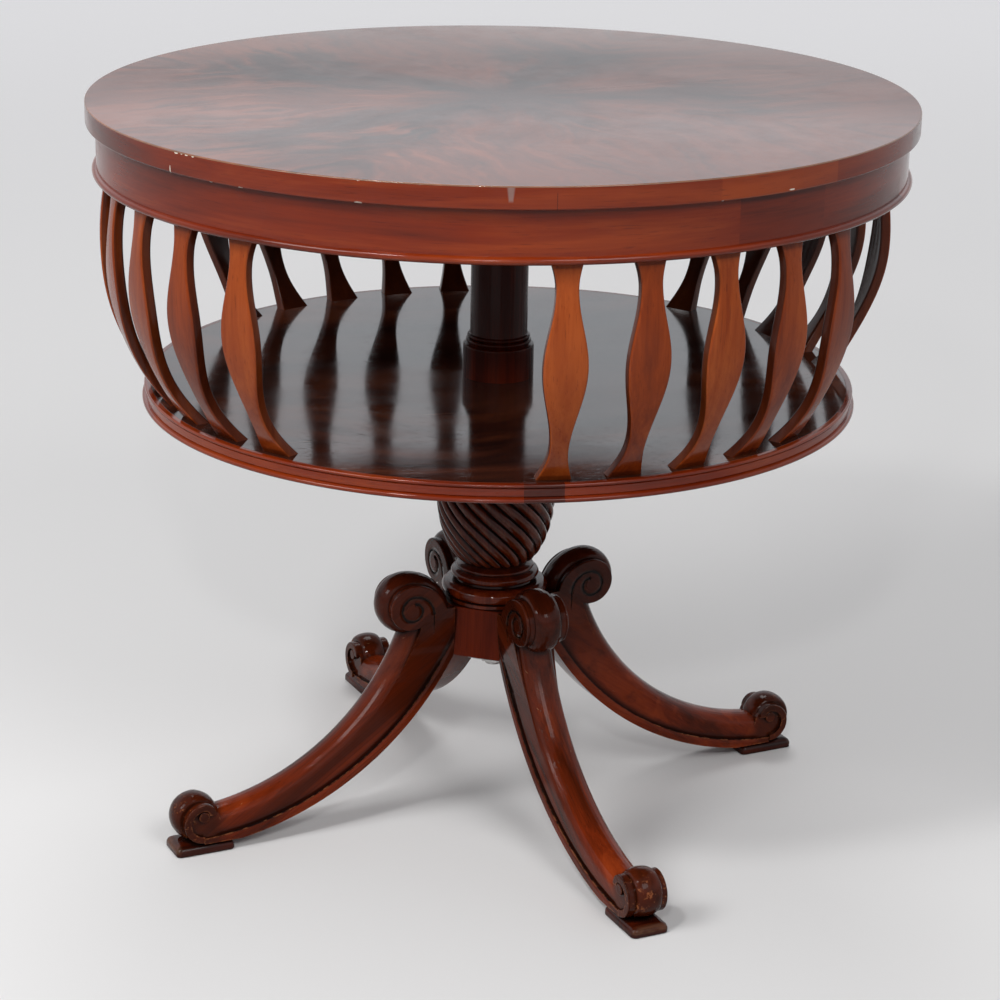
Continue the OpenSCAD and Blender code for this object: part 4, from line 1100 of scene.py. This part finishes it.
studio = {
    "floor": (0.76, 0.755, 0.75), "bounce": 0.30, "lift": 0.40, "liftFrom": 0.3, "liftTo": 5.5,
    "half": 14, "below": 0.0004, "soft": (0.30, 0.30, 0.31), "skyline": (0.80, 0.80, 0.81),
    "bands": [  # the wall's shades going up: from, to and colour
        (0.02, 0.14, (0.49, 0.505, 0.53)), (0.15, 0.235, (1.04, 1.07, 1.12)),
        (0.45, 0.75, (0.50, 0.50, 0.51)),
    ],
}
lamps = {  # place, size and watts
    "key": ((-1.9, -2.6, 2.7), 1.6, 62), "fill": ((2.1, -1.9, 2.7), 1.6, 36),
    "over": ((-0.7, 1.7, 3.2), 1.4, 30), "sparkle": ((-0.45, -1.5, 2.3), 0.30, 14),
    "flash": ((0.62, -2.32, 1.75), 0.15, 11),
}
aim = (0, 0, 0.4)


class Backdrop(Finish):  # the world, with the same helpers
    def __init__(self, name):
        world = bpy.data.worlds.new(name)
        scene.world = world
        world.use_nodes = True
        self.tree = world.node_tree
        self.shader = self.tree.nodes["Background"]


def makeFloor():
    half, level = studio["half"], -studio["below"]
    mesh = bpy.data.meshes.new("floor")
    corners = [(-half, -half, level), (half, -half, level), (half, half, level), (-half, half, level)]
    mesh.from_pydata(corners, [], [(0, 1, 2, 3)])
    floor = bpy.data.objects.new("floor", mesh)
    scene.collection.objects.link(floor)
    ground = Finish("pale_floor", Roughness=0.75, IOR=1.4, Emission_Strength=1.0)
    bounced = ground.node("ShaderNodeLightPath", out="Is Diffuse Ray")
    dim = tuple(c * studio["bounce"] for c in studio["floor"])  # so the floor tints the table less
    ground.wire("Base Color", ground.mix(bounced, studio["floor"], dim))
    away = ground.length(ground.point())
    lifted = ground.limits(away, studio["liftFrom"], studio["liftTo"], 0.0, studio["lift"]) * ground.shown()
    ground.wire("Emission Color", ground.joined(lifted, lifted, lifted * 1.03))
    mesh.materials.append(ground.material)


def makeBackdrop():
    air = Backdrop("studio")
    height = air.parts(air.node("ShaderNodeTexCoord", out="Generated"))[2]
    wall = studio["skyline"]
    for low, high, colour in studio["bands"]:
        wall = air.mix(air.limits(height, low, high), wall, colour)
    air.wire("Color", air.mix(air.shown(), studio["soft"], wall))


def hangLamps():
    for name, (place, size, power) in lamps.items():
        data = bpy.data.lights.new(name, "AREA")
        data.shape, data.size, data.energy = "DISK", size, power
        lamp = bpy.data.objects.new(name, data)
        scene.collection.objects.link(lamp)
        lamp.location = place
        lamp.rotation_euler = (Vector(aim) - Vector(place)).to_track_quat("-Z", "Y").to_euler()


makeFloor()
makeBackdrop()
hangLamps()
print("studio made")
